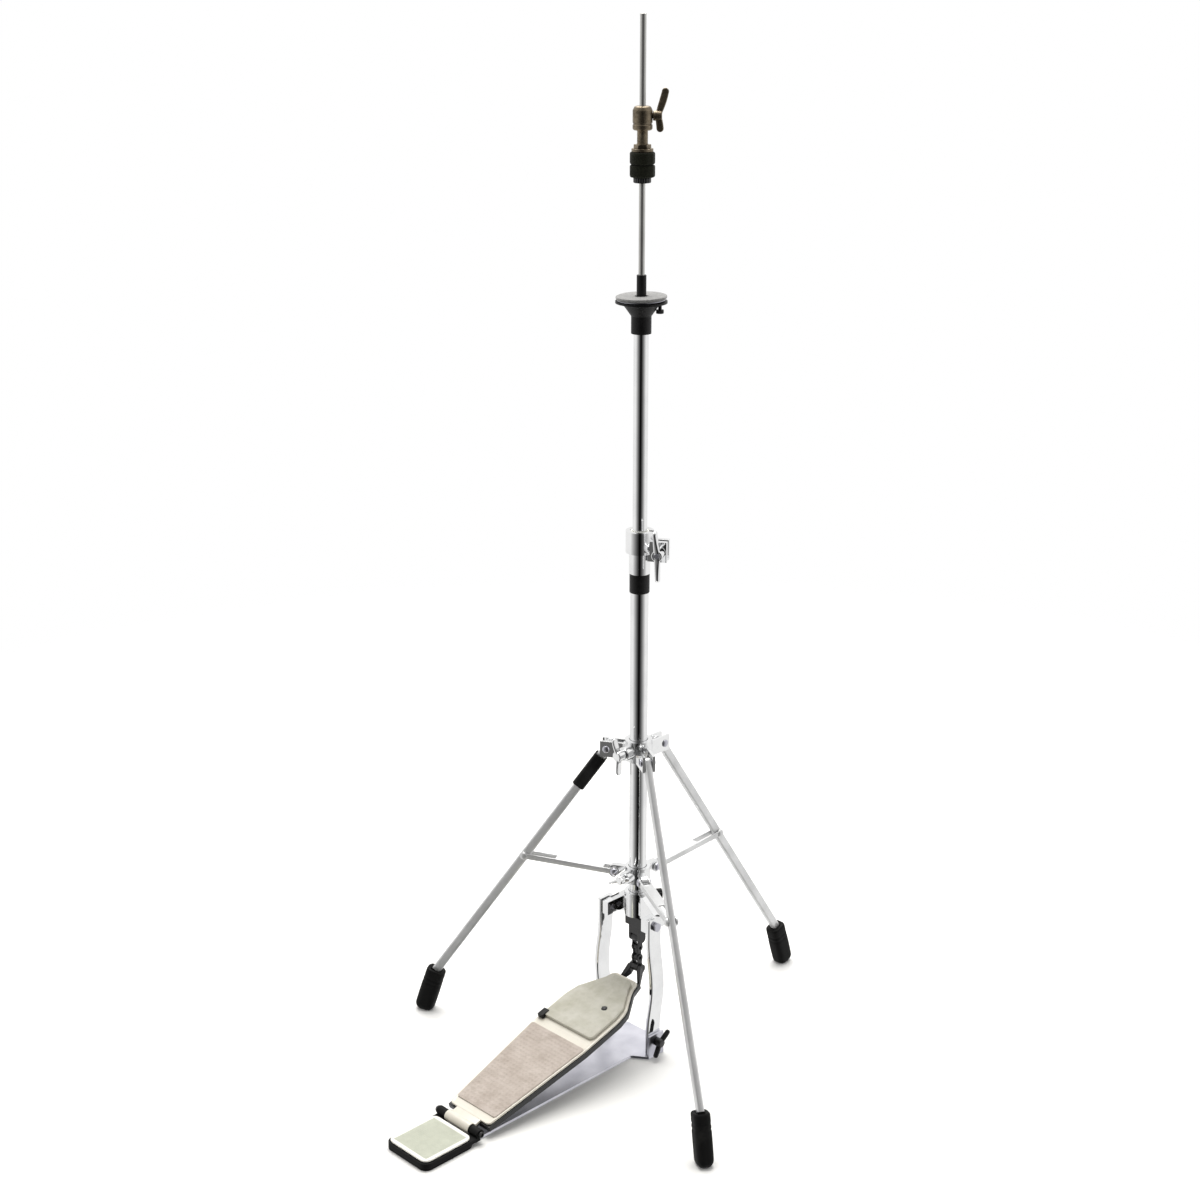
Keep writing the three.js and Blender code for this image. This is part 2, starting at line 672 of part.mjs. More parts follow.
function makeChain() {
  const parts = [];
  for (let i = 0; i < chainLinks; i++) {
    const outer = chainHalfWidth - (i % 2 ? chainPlate : 0);
    const link = chainPlateAt(outer - chainPlate, toePinZ + i * chainPitch);
    parts.push(bothSides(link, [1, 0, 0]));
  }
  for (let i = 0; i <= chainLinks; i++) {
    const end = i === 0 || i === chainLinks;
    const half = end ? chainHalfWidth : chainHalfWidth - chainPlate;
    const at = [0, 0, toePinZ + i * chainPitch];
    parts.push(barAlong("x", end ? chainEye : chainRoller, -half, half, at, 14));
  }
  const hole = (play, z) => {
    const half = chainHalfWidth + PAST;
    return barAlong("x", toePinRadius + play, -half, half, [0, 0, z], 14);
  };
  piece("drive_chain", cut(join(...parts), hole(CHAIN_PLAY, toePinZ), hole(GAP, chainTopZ)), blackMetal);
}

// ---- frame ------------------------------------------------------------------------------------
function makeYoke() {
  const knobZ = yokeTop - knobDrop;
  const arm = symmetric([
    [yokeRadius, yokeBottom],
    [yokeArmEnd, strutBoltZ - yokeEndHalf],
    [yokeArmEnd, strutBoltZ + yokeEndHalf],
    [yokeRadius, yokeTop - yokeArmDrop],
  ]);
  const armY = [-yokeDepth / 2, yokeDepth / 2];
  const end = block(
    [yokeArmEnd - yokeEnd, yokeArmEnd],
    [strutFace[0] + yokeEndInset, armY[1]],
    [strutBoltZ - yokeEndHalf, strutBoltZ + yokeEndHalf],
  );
  const boltHole = barAlong(
    "x", strutBoltRadius + GAP, yokeArmEnd - yokeEnd - PAST, yokeArmEnd + PAST, [0, strutY, strutBoltZ]);
  const knobHole = barAlong("x", knob.shankRadius + GAP, 0, yokeRadius + PAST, [0, 0, knobZ]);
  const body = cut(
    join(
      post(yokeRadius, yokeBottom, yokeTop),
      sidePlate(arm, ...armY),
      bothSides(end, [1, 0, 0]),
    ),
    post(baseTubeRadius + GAP, yokeBottom + yokeFloor, yokeTop + PAST),
    post(lowerRodRadius + GAP, yokeBottom - PAST, yokeTop, 20),
    bothSides(boltHole, [1, 0, 0]),
    knobHole.rotate([0, 0, knobAzimuth]),
  );
  piece("frame_yoke", body, chrome);

  const shank = yokeRadius - baseTubeRadius;
  const grip = join(
    barAlong("x", knob.radius, knob.neck, knob.neck + knob.length),
    barAlong("x", knob.neckRadius, 0, knob.neck + PAST),
    barAlong("x", knob.shankRadius, GAP - shank, PAST),
  );
  placeScrew("spring_tension_knob", grip, blackPlastic, {
    azimuth: knobAzimuth, from: yokeRadius + GAP, z: knobZ, spin: 0,
  });
}

// Strut of the frame's right side: straight at its ends and bowed outwards between them.
function strutBody() {
  const low = soleEarTop + strutStraight;
  const high = strutBoltZ - yokeEndHalf - PAST;
  const steps = 10;
  const bowed = Array.from({ length: steps + 1 }, (_, i) => [
    strutX + strutBow * Math.sin((Math.PI * i) / steps) ** 2,
    low + ((high - low) * i) / steps,
  ]);
  const line = [[strutX, soleThick + GAP], ...bowed, [strutX, strutBoltZ + strutPast]];
  const half = strutThick / 2;
  const outline = [
    ...line.map(([x, z]) => [x + half, z]),
    ...line.toReversed().map(([x, z]) => [x - half, z]),
  ];
  const through = (z, radius) =>
    barAlong("x", radius + GAP, strutInnerX - PAST, strutOuterX + PAST, [0, strutY, z]);
  return cut(
    sidePlate(polygon(outline), ...strutFace),
    through(strutBoltZ, strutBoltRadius),
    through(soleScrewZ, soleScrewRadius),
  );
}

function makeStruts() {
  const at = [0, strutY, strutBoltZ];
  const face = strutOuterX + GAP;
  const strut = strutBody();
  const bolt = join(
    barAlong("x", strutBoltRadius, yokeArmEnd - yokeEnd, face + PAST, at),
    barAlong("x", boltHead.radius, face, face + boltHead.length, at, 6),
  );
  piece("strut_right", strut, chrome);
  piece("strut_left", strut.mirror([1, 0, 0]), chrome);
  piece("strut_bolt_right", bolt, steel);
  piece("strut_bolt_left", bolt.mirror([1, 0, 0]), steel);
}

// ---- pull rod, spring and tubes ---------------------------------------------------------------
function makePullRod() {
  const threadBottom = rodJointZ - rodThread;
  const chamferZ = rodTop - rodChamfer;
  const upper = join(
    post(rodRadius, threadBottom, chamferZ, 20),
    post(rodRadius, chamferZ - GAP / 10, rodTop, 20, rodRadius - rodChamfer),
  );
  piece("upper_pull_rod", upper, steel);

  const stopRadius = springRadius + springWire + springStop.lip;
  const lower = cut(
    join(
      post(lowerRodRadius, linkBarBottom + linkFloor, rodJointZ, 20),
      post(stopRadius, springTop, springTop + springStop.length, 20),
    ),
    post(rodRadius + GAP, threadBottom - GAP, rodJointZ + PAST, 20),
  );
  piece("lower_pull_rod", lower, steel);

  const low = springBottom + springWire + GAP;
  const high = springTop - springWire - GAP;
  const coil = new THREE.Curve();
  coil.getPoint = (t) => {
    const turn = 2 * Math.PI * springTurns * t;
    const [x, y] = [springRadius * Math.cos(turn), springRadius * Math.sin(turn)];
    return new THREE.Vector3(x, y, low + (high - low) * t);
  };
  const wire = new THREE.Shape();
  wire.absarc(0, 0, springWire, 0, 2 * Math.PI);
  const helix = new THREE.ExtrudeGeometry(wire, {
    steps: springTurns * 8, curveSegments: 3, extrudePath: coil,
  });
  piece("return_spring", solid(helix), steel);
}

function makeTubes() {
  piece("base_tube", tube(baseTubeRadius, baseTubeBore, baseTubeBottom, baseTubeTop), chrome);
  const upperBottom = clampTop - upperTubeInside;
  const upper = tube(upperTubeRadius, upperTubeRadius - upperTubeWall, upperBottom, upperTubeTop);
  piece("upper_tube", upper, chrome);

  const ringTop = clampBottom - GAP;
  const ringBore = baseTubeRadius + GAP;
  piece("tube_ring", tube(ringBore + ringWall, ringBore, ringTop - ringHeight, ringTop), blackPlastic);

  const bore = upperTubeRadius + GAP;
  const outer = baseTubeBore - GAP;
  const low = baseTubeTop - sleeveLength;
  const lip = baseTubeTop + GAP;
  const sleeve = turned([
    [bore, low],
    [outer, low],
    [outer, lip],
    [baseTubeRadius, lip],
    [baseTubeRadius, lip + sleeveLip],
    [bore, lip + sleeveLip],
    [bore, low],
  ]);
  piece("tube_sleeve", sleeve, nylon);
}

function makeClamp() {
  const turn = outwards(clampAzimuth);
  const lugEnd = clampBoltReach + clampLugPast;
  const lugZ = [clampBoltZ - clampLugHeight / 2, clampBoltZ + clampLugHeight / 2];
  const bolt = [clampBoltReach, 0, clampBoltZ];
  const span = clampLugFace + PAST;
  const slotZ = [lugZ[0] - PAST, clampTop + PAST];
  const body = cut(
    join(
      post(clampOuter, clampRingBottom, clampTop),
      post(clampBore + clampNeckWall, clampBottom, clampRingBottom + PAST),
      block([clampBore, lugEnd], [-clampLugFace, clampLugFace], lugZ),
    ),
    post(clampBore, clampBottom - PAST, clampTop + PAST),
    block([0, lugEnd + PAST], [-clampSlot / 2, clampSlot / 2], slotZ),
    barAlong("y", clampBoltRadius + GAP, -span, span, bolt),
  );
  piece("height_clamp", body, chrome, turn);

  const face = clampLugFace + GAP;
  const shank = join(
    barAlong("y", clampBoltRadius, -face - clampBoltTail, face + PAST, bolt),
    barAlong("y", clampBoltHead.radius, face, face + clampBoltHead.length, bolt),
  );
  piece("clamp_bolt", shank, steel, turn);

  const nut = piece("clamp_wing_nut", wing(clampWing, { bore: clampBoltRadius + GAP }), chrome, turn);
  nut.position.set(clampBoltReach, -face, clampBoltZ);
  nut.rotation.set(94 * DEG, 0, -Math.PI / 2, "ZXY");
}

// ---- tripod -----------------------------------------------------------------------------------
// Screw boss on a collar, towards -Y, and the hole that goes through it into the collar's bore.
const bossAt = (boss, radius, z) =>
  barAlong("y", boss.radius, -radius - boss.length, -collarBore, [0, 0, z]);
const bossHole = (boss, radius, z) =>
  barAlong("y", collarScrewRadius + GAP, -radius - boss.length - PAST, 0, [0, 0, z]);

function makeLegCollar() {
  const screwZ = legCollarBottom + legCollarHeight / 2;
  const top = legCollarBottom + legCollarHeight;
  const lugZ = [legHingeZ - legLugHeight / 2, legHingeZ + legLugHeight / 2];
  const outer = lugInner + legLugThick;
  const lugEnd = legHingeReach + legLugPast;
  const lugs = cut(
    block([collarBore, lugEnd], [-outer, outer], lugZ),
    block([collarRadius + PAST, lugEnd + PAST], [-lugInner, lugInner], [lugZ[0] - PAST, lugZ[1] + PAST]),
    pinHole(legHingeReach, legHingeZ),
  );
  let body = join(post(collarRadius, legCollarBottom, top), bossAt(legBoss, collarRadius, screwZ));
  for (const azimuth of Object.values(legAzimuths)) body = body.add(lugs.rotate([0, 0, azimuth]));
  const bore = post(collarBore, legCollarBottom - PAST, top + PAST);
  piece("leg_collar", cut(body, bore, bossHole(legBoss, collarRadius, screwZ)), chrome);

  const face = collarRadius + legBoss.length + GAP;
  const shank = { shankRadius: collarScrewRadius, shank: face - baseTubeRadius - GAP };
  placeScrew("leg_collar_wing_bolt", wing(legWing, shank), chrome, {
    azimuth: -90, from: face, z: screwZ, spin: 100,
  });
}

function makeBraceCollar() {
  const top = braceCollarBottom + braceCollarHeight;
  const shape = new THREE.Shape();
  shape.moveTo(collarBore, bracePivotZ - braceTongueRadius);
  shape.absarc(bracePivotReach, bracePivotZ, braceTongueRadius, -Math.PI / 2, Math.PI / 2);
  shape.lineTo(collarBore, bracePivotZ + braceTongueRadius);
  const tongue = cut(sidePlate(shape, -legThick / 2, legThick / 2), pinHole(bracePivotReach, bracePivotZ));
  let body = join(
    post(braceCollarRadius, braceCollarBottom, top),
    bossAt(braceBoss, braceCollarRadius, bracePivotZ),
  );
  for (const azimuth of Object.values(legAzimuths)) body = body.add(tongue.rotate([0, 0, azimuth]));
  const bore = post(collarBore, braceCollarBottom - PAST, top + PAST);
  piece("brace_collar", cut(body, bore, bossHole(braceBoss, braceCollarRadius, bracePivotZ)), chrome);

  const face = braceCollarRadius + braceBoss.length + GAP;
  const shank = { shankRadius: collarScrewRadius, shank: face - baseTubeRadius - GAP };
  placeScrew("brace_collar_wing_screw", wing(braceWing, shank), chrome, {
    azimuth: -90, from: face, z: bracePivotZ, spin: 28,
  });
}

// Leg in its own frame: the hinge at the origin and the leg along -Z, deep along X and thin along Y.
function legBody() {
  const end = legAtFoot + footSocket - GAP;
  const shape = slotShape(-(end - legDepth / 2), 0, legDepth / 2);
  const g = new THREE.ExtrudeGeometry(shape, { depth: legThick, bevelEnabled: false, curveSegments: 5 });
  const bar = solid(g.rotateX(Math.PI / 2).rotateY(-Math.PI / 2).translate(0, legThick / 2, 0));
  return cut(bar, pinHole(0, 0));
}

// Rubber foot in the leg's frame: more upright than the leg, and cut off flat where it meets the floor.
function footBody() {
  const shape = roundRect(footDepth / 2, footThick / 2, footRound);
  const length = footTopZ / Math.cos(footSlant * DEG) + footDepth / 2;
  const upright = legAngle - footSlant;
  const boot = plate(shape, -length, 0, 4).rotate([0, upright, 0]).translate([0, 0, -legAtFoot]);
  const room = block(
    [-legDepth / 2 - GAP, legDepth / 2 + GAP],
    [-legThick / 2 - GAP, legThick / 2 + GAP],
    [-legAtFoot - footSocket, -legAtFoot + footDepth],
  );
  const under = new THREE.BoxGeometry(4 * footDepth, 4 * footDepth, 2 * footDepth);
  under.translate(0, 0, -footDepth).rotateY(legAngle * DEG).translate(0, 0, -legFloor);
  return cut(boot, room, solid(under));
}

// Brace in its own frame: the collar's pivot at the origin and the leg's pivot at +X. Two straps joined by a
// web along the top edge, which stops short of the leg so that the fork's ends straddle it.
function braceBody() {
  const back = lugInner + braceSheet;
  const edge = [braceDepth / 2 - braceSheet, braceDepth / 2];
  const eye = (x) => barAlong("y", braceEye, lugInner, back, [x, 0, 0], 18);
  const bar = sidePlate(slotShape(0, braceLength, braceDepth / 2), lugInner, back);
  const strap = cut(join(bar, eye(0), eye(braceLength)), pinHole(0, 0));
  const rivet = barAlong("y", pinHeadRadius, back - GAP, back + pinHead, [braceLength, 0, 0], 14);
  const web = block([braceWeb.start, braceWeb.end], [-back, back], edge);
  return join(bothSides(join(strap, rivet), [0, 1, 0]), web);
}

// Black sleeve round the left leg, just below its hinge.
function legSleeveBody() {
  const inner = { x: legDepth / 2 + GAP, y: legThick / 2 + GAP };
  const z = [-legSleeveStart - legSleeveLength, -legSleeveStart];
  const shape = roundRect(inner.x + legSleeveWall, inner.y + legSleeveWall, legSleeveWall);
  const room = block([-inner.x, inner.x], [-inner.y, inner.y], [z[0] - PAST, z[1] + PAST]);
  return cut(plate(shape, ...z, 3), room);
}

function makeTripod() {
  const leg = legBody();
  const foot = footBody();
  const brace = braceBody();
  for (const [side, azimuth] of Object.entries(legAzimuths)) {
    const turn = outwards(azimuth);
    const swung = new THREE.Group();
    swung.position.set(legHingeReach, 0, legHingeZ);
    swung.rotation.y = -legAngle * DEG;
    turn.add(swung);
    piece(`leg_${side}`, leg, chrome, swung);
    piece(`foot_${side}`, foot, blackRubber, swung);
    piece(`leg_pin_${side}`, forkPin(lugInner + legLugThick, legHingeReach, legHingeZ), steel, turn);
    if (side === "left") piece("leg_sleeve", legSleeveBody(), blackPlastic, swung);

    const link = piece(`brace_${side}`, brace, chrome, turn);
    link.position.set(bracePivotReach, 0, bracePivotZ);
    link.rotation.y = -braceAngle;
    piece(`brace_pin_${side}`, forkPin(lugInner + braceSheet, bracePivotReach, bracePivotZ), steel, turn);
  }
}

// ---- cymbal seat ------------------------------------------------------------------------------
function makeSeat() {
  const face = outwards(seatAzimuth);
  const bore = upperTubeRadius + GAP;
  const neck = bore + seatNeckWall;
  const stem = seatSleeveRadius + GAP;
  const at = [seatScrewReach, 0, 0];
  const floor = upperTubeTop + GAP;
  const base = turned([
    [bore, seatBottom],
    [neck, seatBottom],
    [neck, seatBottom + seatNeckLength],
    [(neck + seatFlangeRadius) / 2, seatFlangeBottom - seatFlangeThick],
    [seatFlangeRadius, seatFlangeBottom],
    [seatFlangeRadius, seatFlangeTop],
    [stem, seatFlangeTop],
    [stem, floor],
    [bore, floor],
    [bore, seatBottom],
  ]);
  const { radius, length, room } = seatScrewHead;
  const headTop = seatFlangeBottom - length - room;
  const screwHole = barAlong("z", seatScrewRadius + GAP, headTop, seatFlangeTop + PAST, at, 12);
  const headRoom = barAlong("z", radius + GAP, seatBottom, headTop + room, at, 14);
  piece("seat_base", cut(base, screwHole, headRoom), blackPlastic, face);

  const sleeve = tube(seatSleeveRadius, rodRadius + GAP, floor + GAP, seatSleeveTop, 22);
  piece("seat_sleeve", sleeve, blackPlastic, face);

  // The cup and felt tip about a line at the flange's far side from the screw.
  const tip = new THREE.Group();
  tip.position.set(-seatPivotReach, 0, seatFlangeTop + GAP);
  tip.rotation.y = -seatTilt * DEG;
  face.add(tip);
  const hole = seatSleeveRadius + seatHolePlay;
  const disc = (outer, low, thick) =>
    tube(outer, hole, low, low + thick, 30).translate([seatPivotReach, 0, 0]);
  piece("seat_cup", disc(seatFeltRadius - seatCupInset, 0, seatCupThick), steel, tip);
  piece("seat_felt", disc(seatFeltRadius, seatCupThick + GAP, seatFeltThick), greyFelt, tip);

  // The screw's end stops just short of the cup's underside, at the side nearer to the pivot.
  const lift = (seatPivotReach + seatScrewReach - seatScrewRadius) * Math.tan(seatTilt * DEG);
  const screw = join(
    barAlong("z", seatScrewRadius, headTop - PAST, seatFlangeTop + lift, at, 12),
    barAlong("z", radius, headTop - length, headTop, at, 14),
  );
  piece("seat_tilt_screw", screw, blackMetal, face);
}

// ---- clutch -----------------------------------------------------------------------------------
function makeClutch() {
  const face = outwards(clutchAzimuth);
  const bore = rodRadius + GAP;
  const stemBore = clutchStemRadius + GAP;
  const screwZ = clutchHeadBottom + clutchScrewUp;
  const body = cut(
    join(
      post(clutchHeadRadius, clutchHeadBottom, clutchHeadTop),
      post(clutchStemRadius, clutchBottom, clutchHeadBottom + PAST),
    ),
    post(bore, clutchBottom - PAST, clutchHeadTop + PAST, 20),
    barAlong("x", clutchScrewRadius + GAP, 0, clutchHeadRadius + PAST, [0, 0, screwZ], 14),
  );
  piece("clutch_body", body, bronze, face);

  const ring = (radius, low, height, sides) =>
    cut(post(radius, low, low + height, sides), post(stemBore, low - PAST, low + height + PAST, 20));
  let z = clutchBottom + clutchStemPast;
  piece("clutch_bottom_nut", ring(clutchNutRadius, z, clutchBottomNut, 18), blackMetal, face);
  z += clutchBottomNut + GAP;
  for (const level of ["lower", "upper"]) {
    piece(`clutch_felt_${level}`, ring(clutchFeltRadius, z, clutchFeltThick, 26), darkFelt, face);
    z += clutchFeltThick + GAP;
  }
  const washer = ring(clutchPlate.radius, z, clutchPlate.height, 24);
  piece("clutch_lock_nut", join(ring(clutchNutRadius, z, clutchNutHeight, 6), washer), bronze, face);

  const from = clutchHeadRadius + GAP;
  const shank = { shankRadius: clutchScrewRadius, shank: from - bore };
  placeScrew("clutch_wing_screw", wing(clutchWing, shank), bronze, {
    azimuth: clutchAzimuth, from, z: screwZ, spin: 80,
  });
}

makeSole();
makeHeel();
makeFootboard();
makeLink();
makeChain();
makeYoke();
makeStruts();
makePullRod();
makeTubes();
makeClamp();
makeLegCollar();
makeBraceCollar();
makeTripod();
makeSeat();
makeClutch();

export default stand;
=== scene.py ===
"""Hi-hat stand: pedal, linkage, tripod, two tubes, cymbal seat and clutch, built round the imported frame.

Shapes are worked out in millimetres in the frame's axes (+Z up, the pedal's heel towards -Y) and
turned into meshes in metres.
"""
import json
import math

import bmesh
import bpy
import numpy as np
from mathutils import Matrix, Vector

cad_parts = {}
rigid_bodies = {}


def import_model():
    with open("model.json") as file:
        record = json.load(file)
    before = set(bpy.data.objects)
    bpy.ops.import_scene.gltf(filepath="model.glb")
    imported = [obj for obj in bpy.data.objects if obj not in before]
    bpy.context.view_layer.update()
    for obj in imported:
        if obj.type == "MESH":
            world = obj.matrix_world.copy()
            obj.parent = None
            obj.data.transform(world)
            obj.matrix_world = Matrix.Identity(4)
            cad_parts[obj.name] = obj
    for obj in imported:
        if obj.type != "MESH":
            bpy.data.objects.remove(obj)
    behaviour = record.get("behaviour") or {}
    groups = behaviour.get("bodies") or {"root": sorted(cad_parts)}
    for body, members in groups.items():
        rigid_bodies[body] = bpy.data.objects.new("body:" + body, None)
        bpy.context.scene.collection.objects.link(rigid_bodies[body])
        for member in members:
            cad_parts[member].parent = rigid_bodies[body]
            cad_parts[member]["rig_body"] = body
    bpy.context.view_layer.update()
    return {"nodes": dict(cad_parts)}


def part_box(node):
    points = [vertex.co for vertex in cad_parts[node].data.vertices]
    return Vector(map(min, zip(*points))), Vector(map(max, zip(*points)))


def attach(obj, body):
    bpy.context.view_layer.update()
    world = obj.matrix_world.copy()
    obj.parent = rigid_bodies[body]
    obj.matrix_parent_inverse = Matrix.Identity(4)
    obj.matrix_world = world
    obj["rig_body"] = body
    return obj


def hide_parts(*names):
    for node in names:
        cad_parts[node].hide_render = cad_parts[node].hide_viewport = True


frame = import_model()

bl_info = {
    "name": "Hi-hat stand",
    "version": (1, 0, 0),
    "blender": (4, 5, 0),
    "location": "View3D > Sidebar > Hi-hat",
    "description": "Builds a hi-hat stand piece by piece round its packed frame",
    "category": "Add Mesh",
}

MM = 0.001
GAP = 0.3  # between pieces that touch


def radius_of(node):
    """Half the smaller width of a round upright node, in metres."""
    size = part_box(node)[1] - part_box(node)[0]
    return min(size.x, size.y) / 2


def span_z(node):
    """Lowest and highest point of a node, in millimetres."""
    low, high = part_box(node)
    return low.z / MM, high.z / MM


# ---- shapes -------------------------------------------------------------------------------------
class Shape:
    """Points in millimetres, four-sided faces as one array and flat end faces as a list of arrays."""

    def __init__(self, points, quads, caps=()):
        self.points = np.asarray(points, float).reshape(-1, 3)
        self.quads = np.asarray(quads, int).reshape(-1, 4)
        self.caps = [np.asarray(c, int) for c in caps]

    def __add__(self, other):
        shift = len(self.points)
        points = np.vstack([self.points, other.points])
        quads = np.vstack([self.quads, other.quads + shift])
        return Shape(points, quads, self.caps + [c + shift for c in other.caps])

    def at(self, points):
        return Shape(points, self.quads, self.caps)

    def moved(self, x=0.0, y=0.0, z=0.0):
        return self.at(self.points + np.array([x, y, z]))

    def turned(self, axis, degrees):
        """Turned about one of the axes through the origin."""
        c, s = math.cos(math.radians(degrees)), math.sin(math.radians(degrees))
        i, j = {"x": (1, 2), "y": (2, 0), "z": (0, 1)}[axis]
        turn = np.eye(3)
        turn[i, i], turn[i, j], turn[j, i], turn[j, j] = c, -s, s, c
        return self.at(self.points @ turn.T)

    def mirrored(self, axis=0):
        """Its mirror image across the plane square to an axis, faces turned back to point outwards."""
        sign = np.ones(3)
        sign[axis] = -1
        return Shape(self.points * sign, self.quads[:, ::-1], [c[::-1] for c in self.caps])

    def both_sides(self, axis=0):
        return self + self.mirrored(axis)


def volume_of(points, quads, caps):
    """Signed volume: the sum over fans of triangles of a . (b x c) / 6."""
    a, b, c, d = (points[quads[:, k]] for k in range(4))
    total = np.einsum("ij,ij->", a, np.cross(b, c)) + np.einsum("ij,ij->", a, np.cross(c, d))
    for cap in caps:
        p = points[cap]
        total += np.einsum("ij,ij->", np.broadcast_to(p[0], p[1:-1].shape), np.cross(p[1:-1], p[2:]))
    return total / 6


def skin(rings, closed=False):
    """Closed rings of points (k, m, 3) joined by quads. A closed skin joins the last ring to the first,
    an open one has a flat face at each end. The faces are turned outwards."""
    k, m = rings.shape[:2]
    i = np.arange(k if closed else k - 1)[:, None]
    j = np.arange(m)[None, :]
    up, across = (i + 1) % k, (j + 1) % m
    quads = np.stack([i * m + j, i * m + across, up * m + across, up * m + j], -1).reshape(-1, 4)
    points = rings.reshape(-1, 3)
    caps = [] if closed else [np.arange(m)[::-1], (k - 1) * m + np.arange(m)]
    if volume_of(points, quads, caps) < 0:
        quads, caps = quads[:, ::-1], [c[::-1] for c in caps]
    return Shape(points, quads, caps)


def rounded(outline, radius, steps=4):
    """A closed outline with each corner p replaced by the curve (1-s)^2 a + 2 s (1-s) p + s^2 b, where a
    and b lie on its two edges at the corner's radius. One radius, or one for each corner."""
    p = np.asarray(outline, float)
    back, on = np.roll(p, 1, 0) - p, np.roll(p, -1, 0) - p
    back_length = np.linalg.norm(back, axis=1, keepdims=True)
    on_length = np.linalg.norm(on, axis=1, keepdims=True)
    wanted = np.broadcast_to(np.reshape(radius, (-1, 1)), back_length.shape)
    reach = np.minimum(wanted, 0.48 * np.minimum(back_length, on_length))
    a, b = p + back / back_length * reach, p + on / on_length * reach
    s = np.linspace(0, 1, steps + 1)[None, :, None]
    curve = (1 - s) ** 2 * a[:, None] + 2 * s * (1 - s) * p[:, None] + s**2 * b[:, None]
    return curve.reshape(-1, p.shape[1])


def rectangle(half_x, half_y, radius, middle=(0, 0), steps=5):
    """Round-cornered rectangle."""
    x, y = middle
    corners = [(x - half_x, y - half_y), (x + half_x, y - half_y),
               (x + half_x, y + half_y), (x - half_x, y + half_y)]
    return rounded(corners, radius, steps)


def slot_outline(start, end, radius, steps=14, waist=1.0):
    """Outline round two points of the X axis: half circles at the ends, and sides whose distance from the
    axis falls to waist times the radius half-way."""
    turn = np.linspace(-math.pi / 2, math.pi / 2, steps)
    right = np.stack([end + radius * np.cos(turn), radius * np.sin(turn)], -1)
    left = np.stack([start - radius * np.cos(turn), -radius * np.sin(turn)], -1)
    s = np.linspace(0, 1, 8)[1:-1]
    dip = radius * (1 - (1 - waist) * np.sin(math.pi * s) ** 2)
    top = np.stack([end + (start - end) * s, dip], -1)
    bottom = np.stack([start + (end - start) * s, -dip], -1)
    return np.vstack([right, top, left, bottom])


def strap_outline(start, end, eye, half, steps=18):
    """Outline of a bar of the X axis with a round eye of a larger radius at each end."""
    neck = math.asin(half / eye)
    turn = np.linspace(neck - math.pi, math.pi - neck, steps)
    right = np.stack([end + eye * np.cos(turn), eye * np.sin(turn)], -1)
    left = np.stack([start - eye * np.cos(turn), -eye * np.sin(turn)], -1)
    return np.vstack([right, left])


def drawn_in(outline, insets):
    """Copies of an outline moved in along its corners' mitre directions, one for each inset."""
    o = np.asarray(outline, float)
    back, on = o - np.roll(o, 1, 0), np.roll(o, -1, 0) - o
    back /= np.linalg.norm(back, axis=1, keepdims=True)
    on /= np.linalg.norm(on, axis=1, keepdims=True)
    out = np.stack([back[:, 1] + on[:, 1], -back[:, 0] - on[:, 0]], -1)
    out /= 1 + np.sum(back * on, 1, keepdims=True)
    area = np.sum(o[:, 0] * np.roll(o[:, 1], -1) - o[:, 1] * np.roll(o[:, 0], -1))
    return o[None] - np.sign(area) * out[None] * np.reshape(insets, (-1, 1, 1))


def stepped_plate(outline, path):
    """Outline in XY carried up a path of (inset, height), closed flat at both ends."""
    path = np.asarray(path, float)
    flat = drawn_in(outline, path[:, 0])
    heights = np.broadcast_to(path[:, 1, None, None], flat.shape[:2] + (1,))
    return skin(np.concatenate([flat, heights], -1))


def edge_path(low, high, edge, steps=4):
    """(inset, height) of a plate's side whose two edges are quarter circles of radius edge."""
    t = np.linspace(0, math.pi / 2, steps + 1)
    inset, lift = edge * (1 - np.sin(t)), edge * (1 - np.cos(t))
    return np.vstack([np.stack([inset, low + lift], -1), np.stack([inset[::-1], high - lift[::-1]], -1)])


def plate(outline, low, high, edge=0.6):
    """Plate from an outline in XY between two heights, with round edges."""
    return stepped_plate(outline, edge_path(low, high, edge))


def standing(shape):
    """A plate drawn in XY stood up, so that its outline is in XZ and its thickness along Y."""
    return shape.turned("x", 90)


def round_z(radius, height, a):
    """Rings round the Z axis: x = r cos a, y = r sin a, with one height for each ring."""
    return np.stack([radius * np.cos(a), radius * np.sin(a), np.broadcast_to(height, radius.shape)], -1)


def bored(bore, a, *heights):
    """Rings of one radius that lead back down a hole."""
    height = np.array(heights)[:, None]
    return round_z(np.full((len(heights), a.shape[1]), float(bore)), height, a)


def lathe(outline, sides=72, closed=True):
    """(radius, height) points carried once round the Z axis: x = r cos a, y = r sin a. A closed outline
    makes a hollow shape, an open one a solid with flat ends."""
    o = np.asarray(outline, float)
    a = np.linspace(0, 2 * math.pi, sides, endpoint=False)
    radius = np.broadcast_to(o[:, :1], (len(o), sides))
    return skin(round_z(radius, o[:, 1:], a), closed)


def hollow(outer, inner, low, high, edge=0.4, sides=72):
    """Tube with round rims."""
    corners = [(inner, low), (outer, low), (outer, high), (inner, high)]
    return lathe(rounded(corners, edge), sides)


def stud(radius, low, high, edge=0.4, sides=40):
    """Solid round bar on the Z axis with round ends."""
    path = edge_path(low, high, edge)
    return lathe(np.stack([radius - path[:, 0], path[:, 1]], -1), sides, closed=False)


def dome_head(radius, low, height, sides=40):
    """Round head on a flat base: radius as the cosine of an angle, height as its sine."""
    t = np.linspace(0, 1.35, 10)
    profile = np.stack([radius * np.cos(t), low + height * np.sin(t) / math.sin(1.35)], -1)
    return lathe(profile, sides, closed=False)


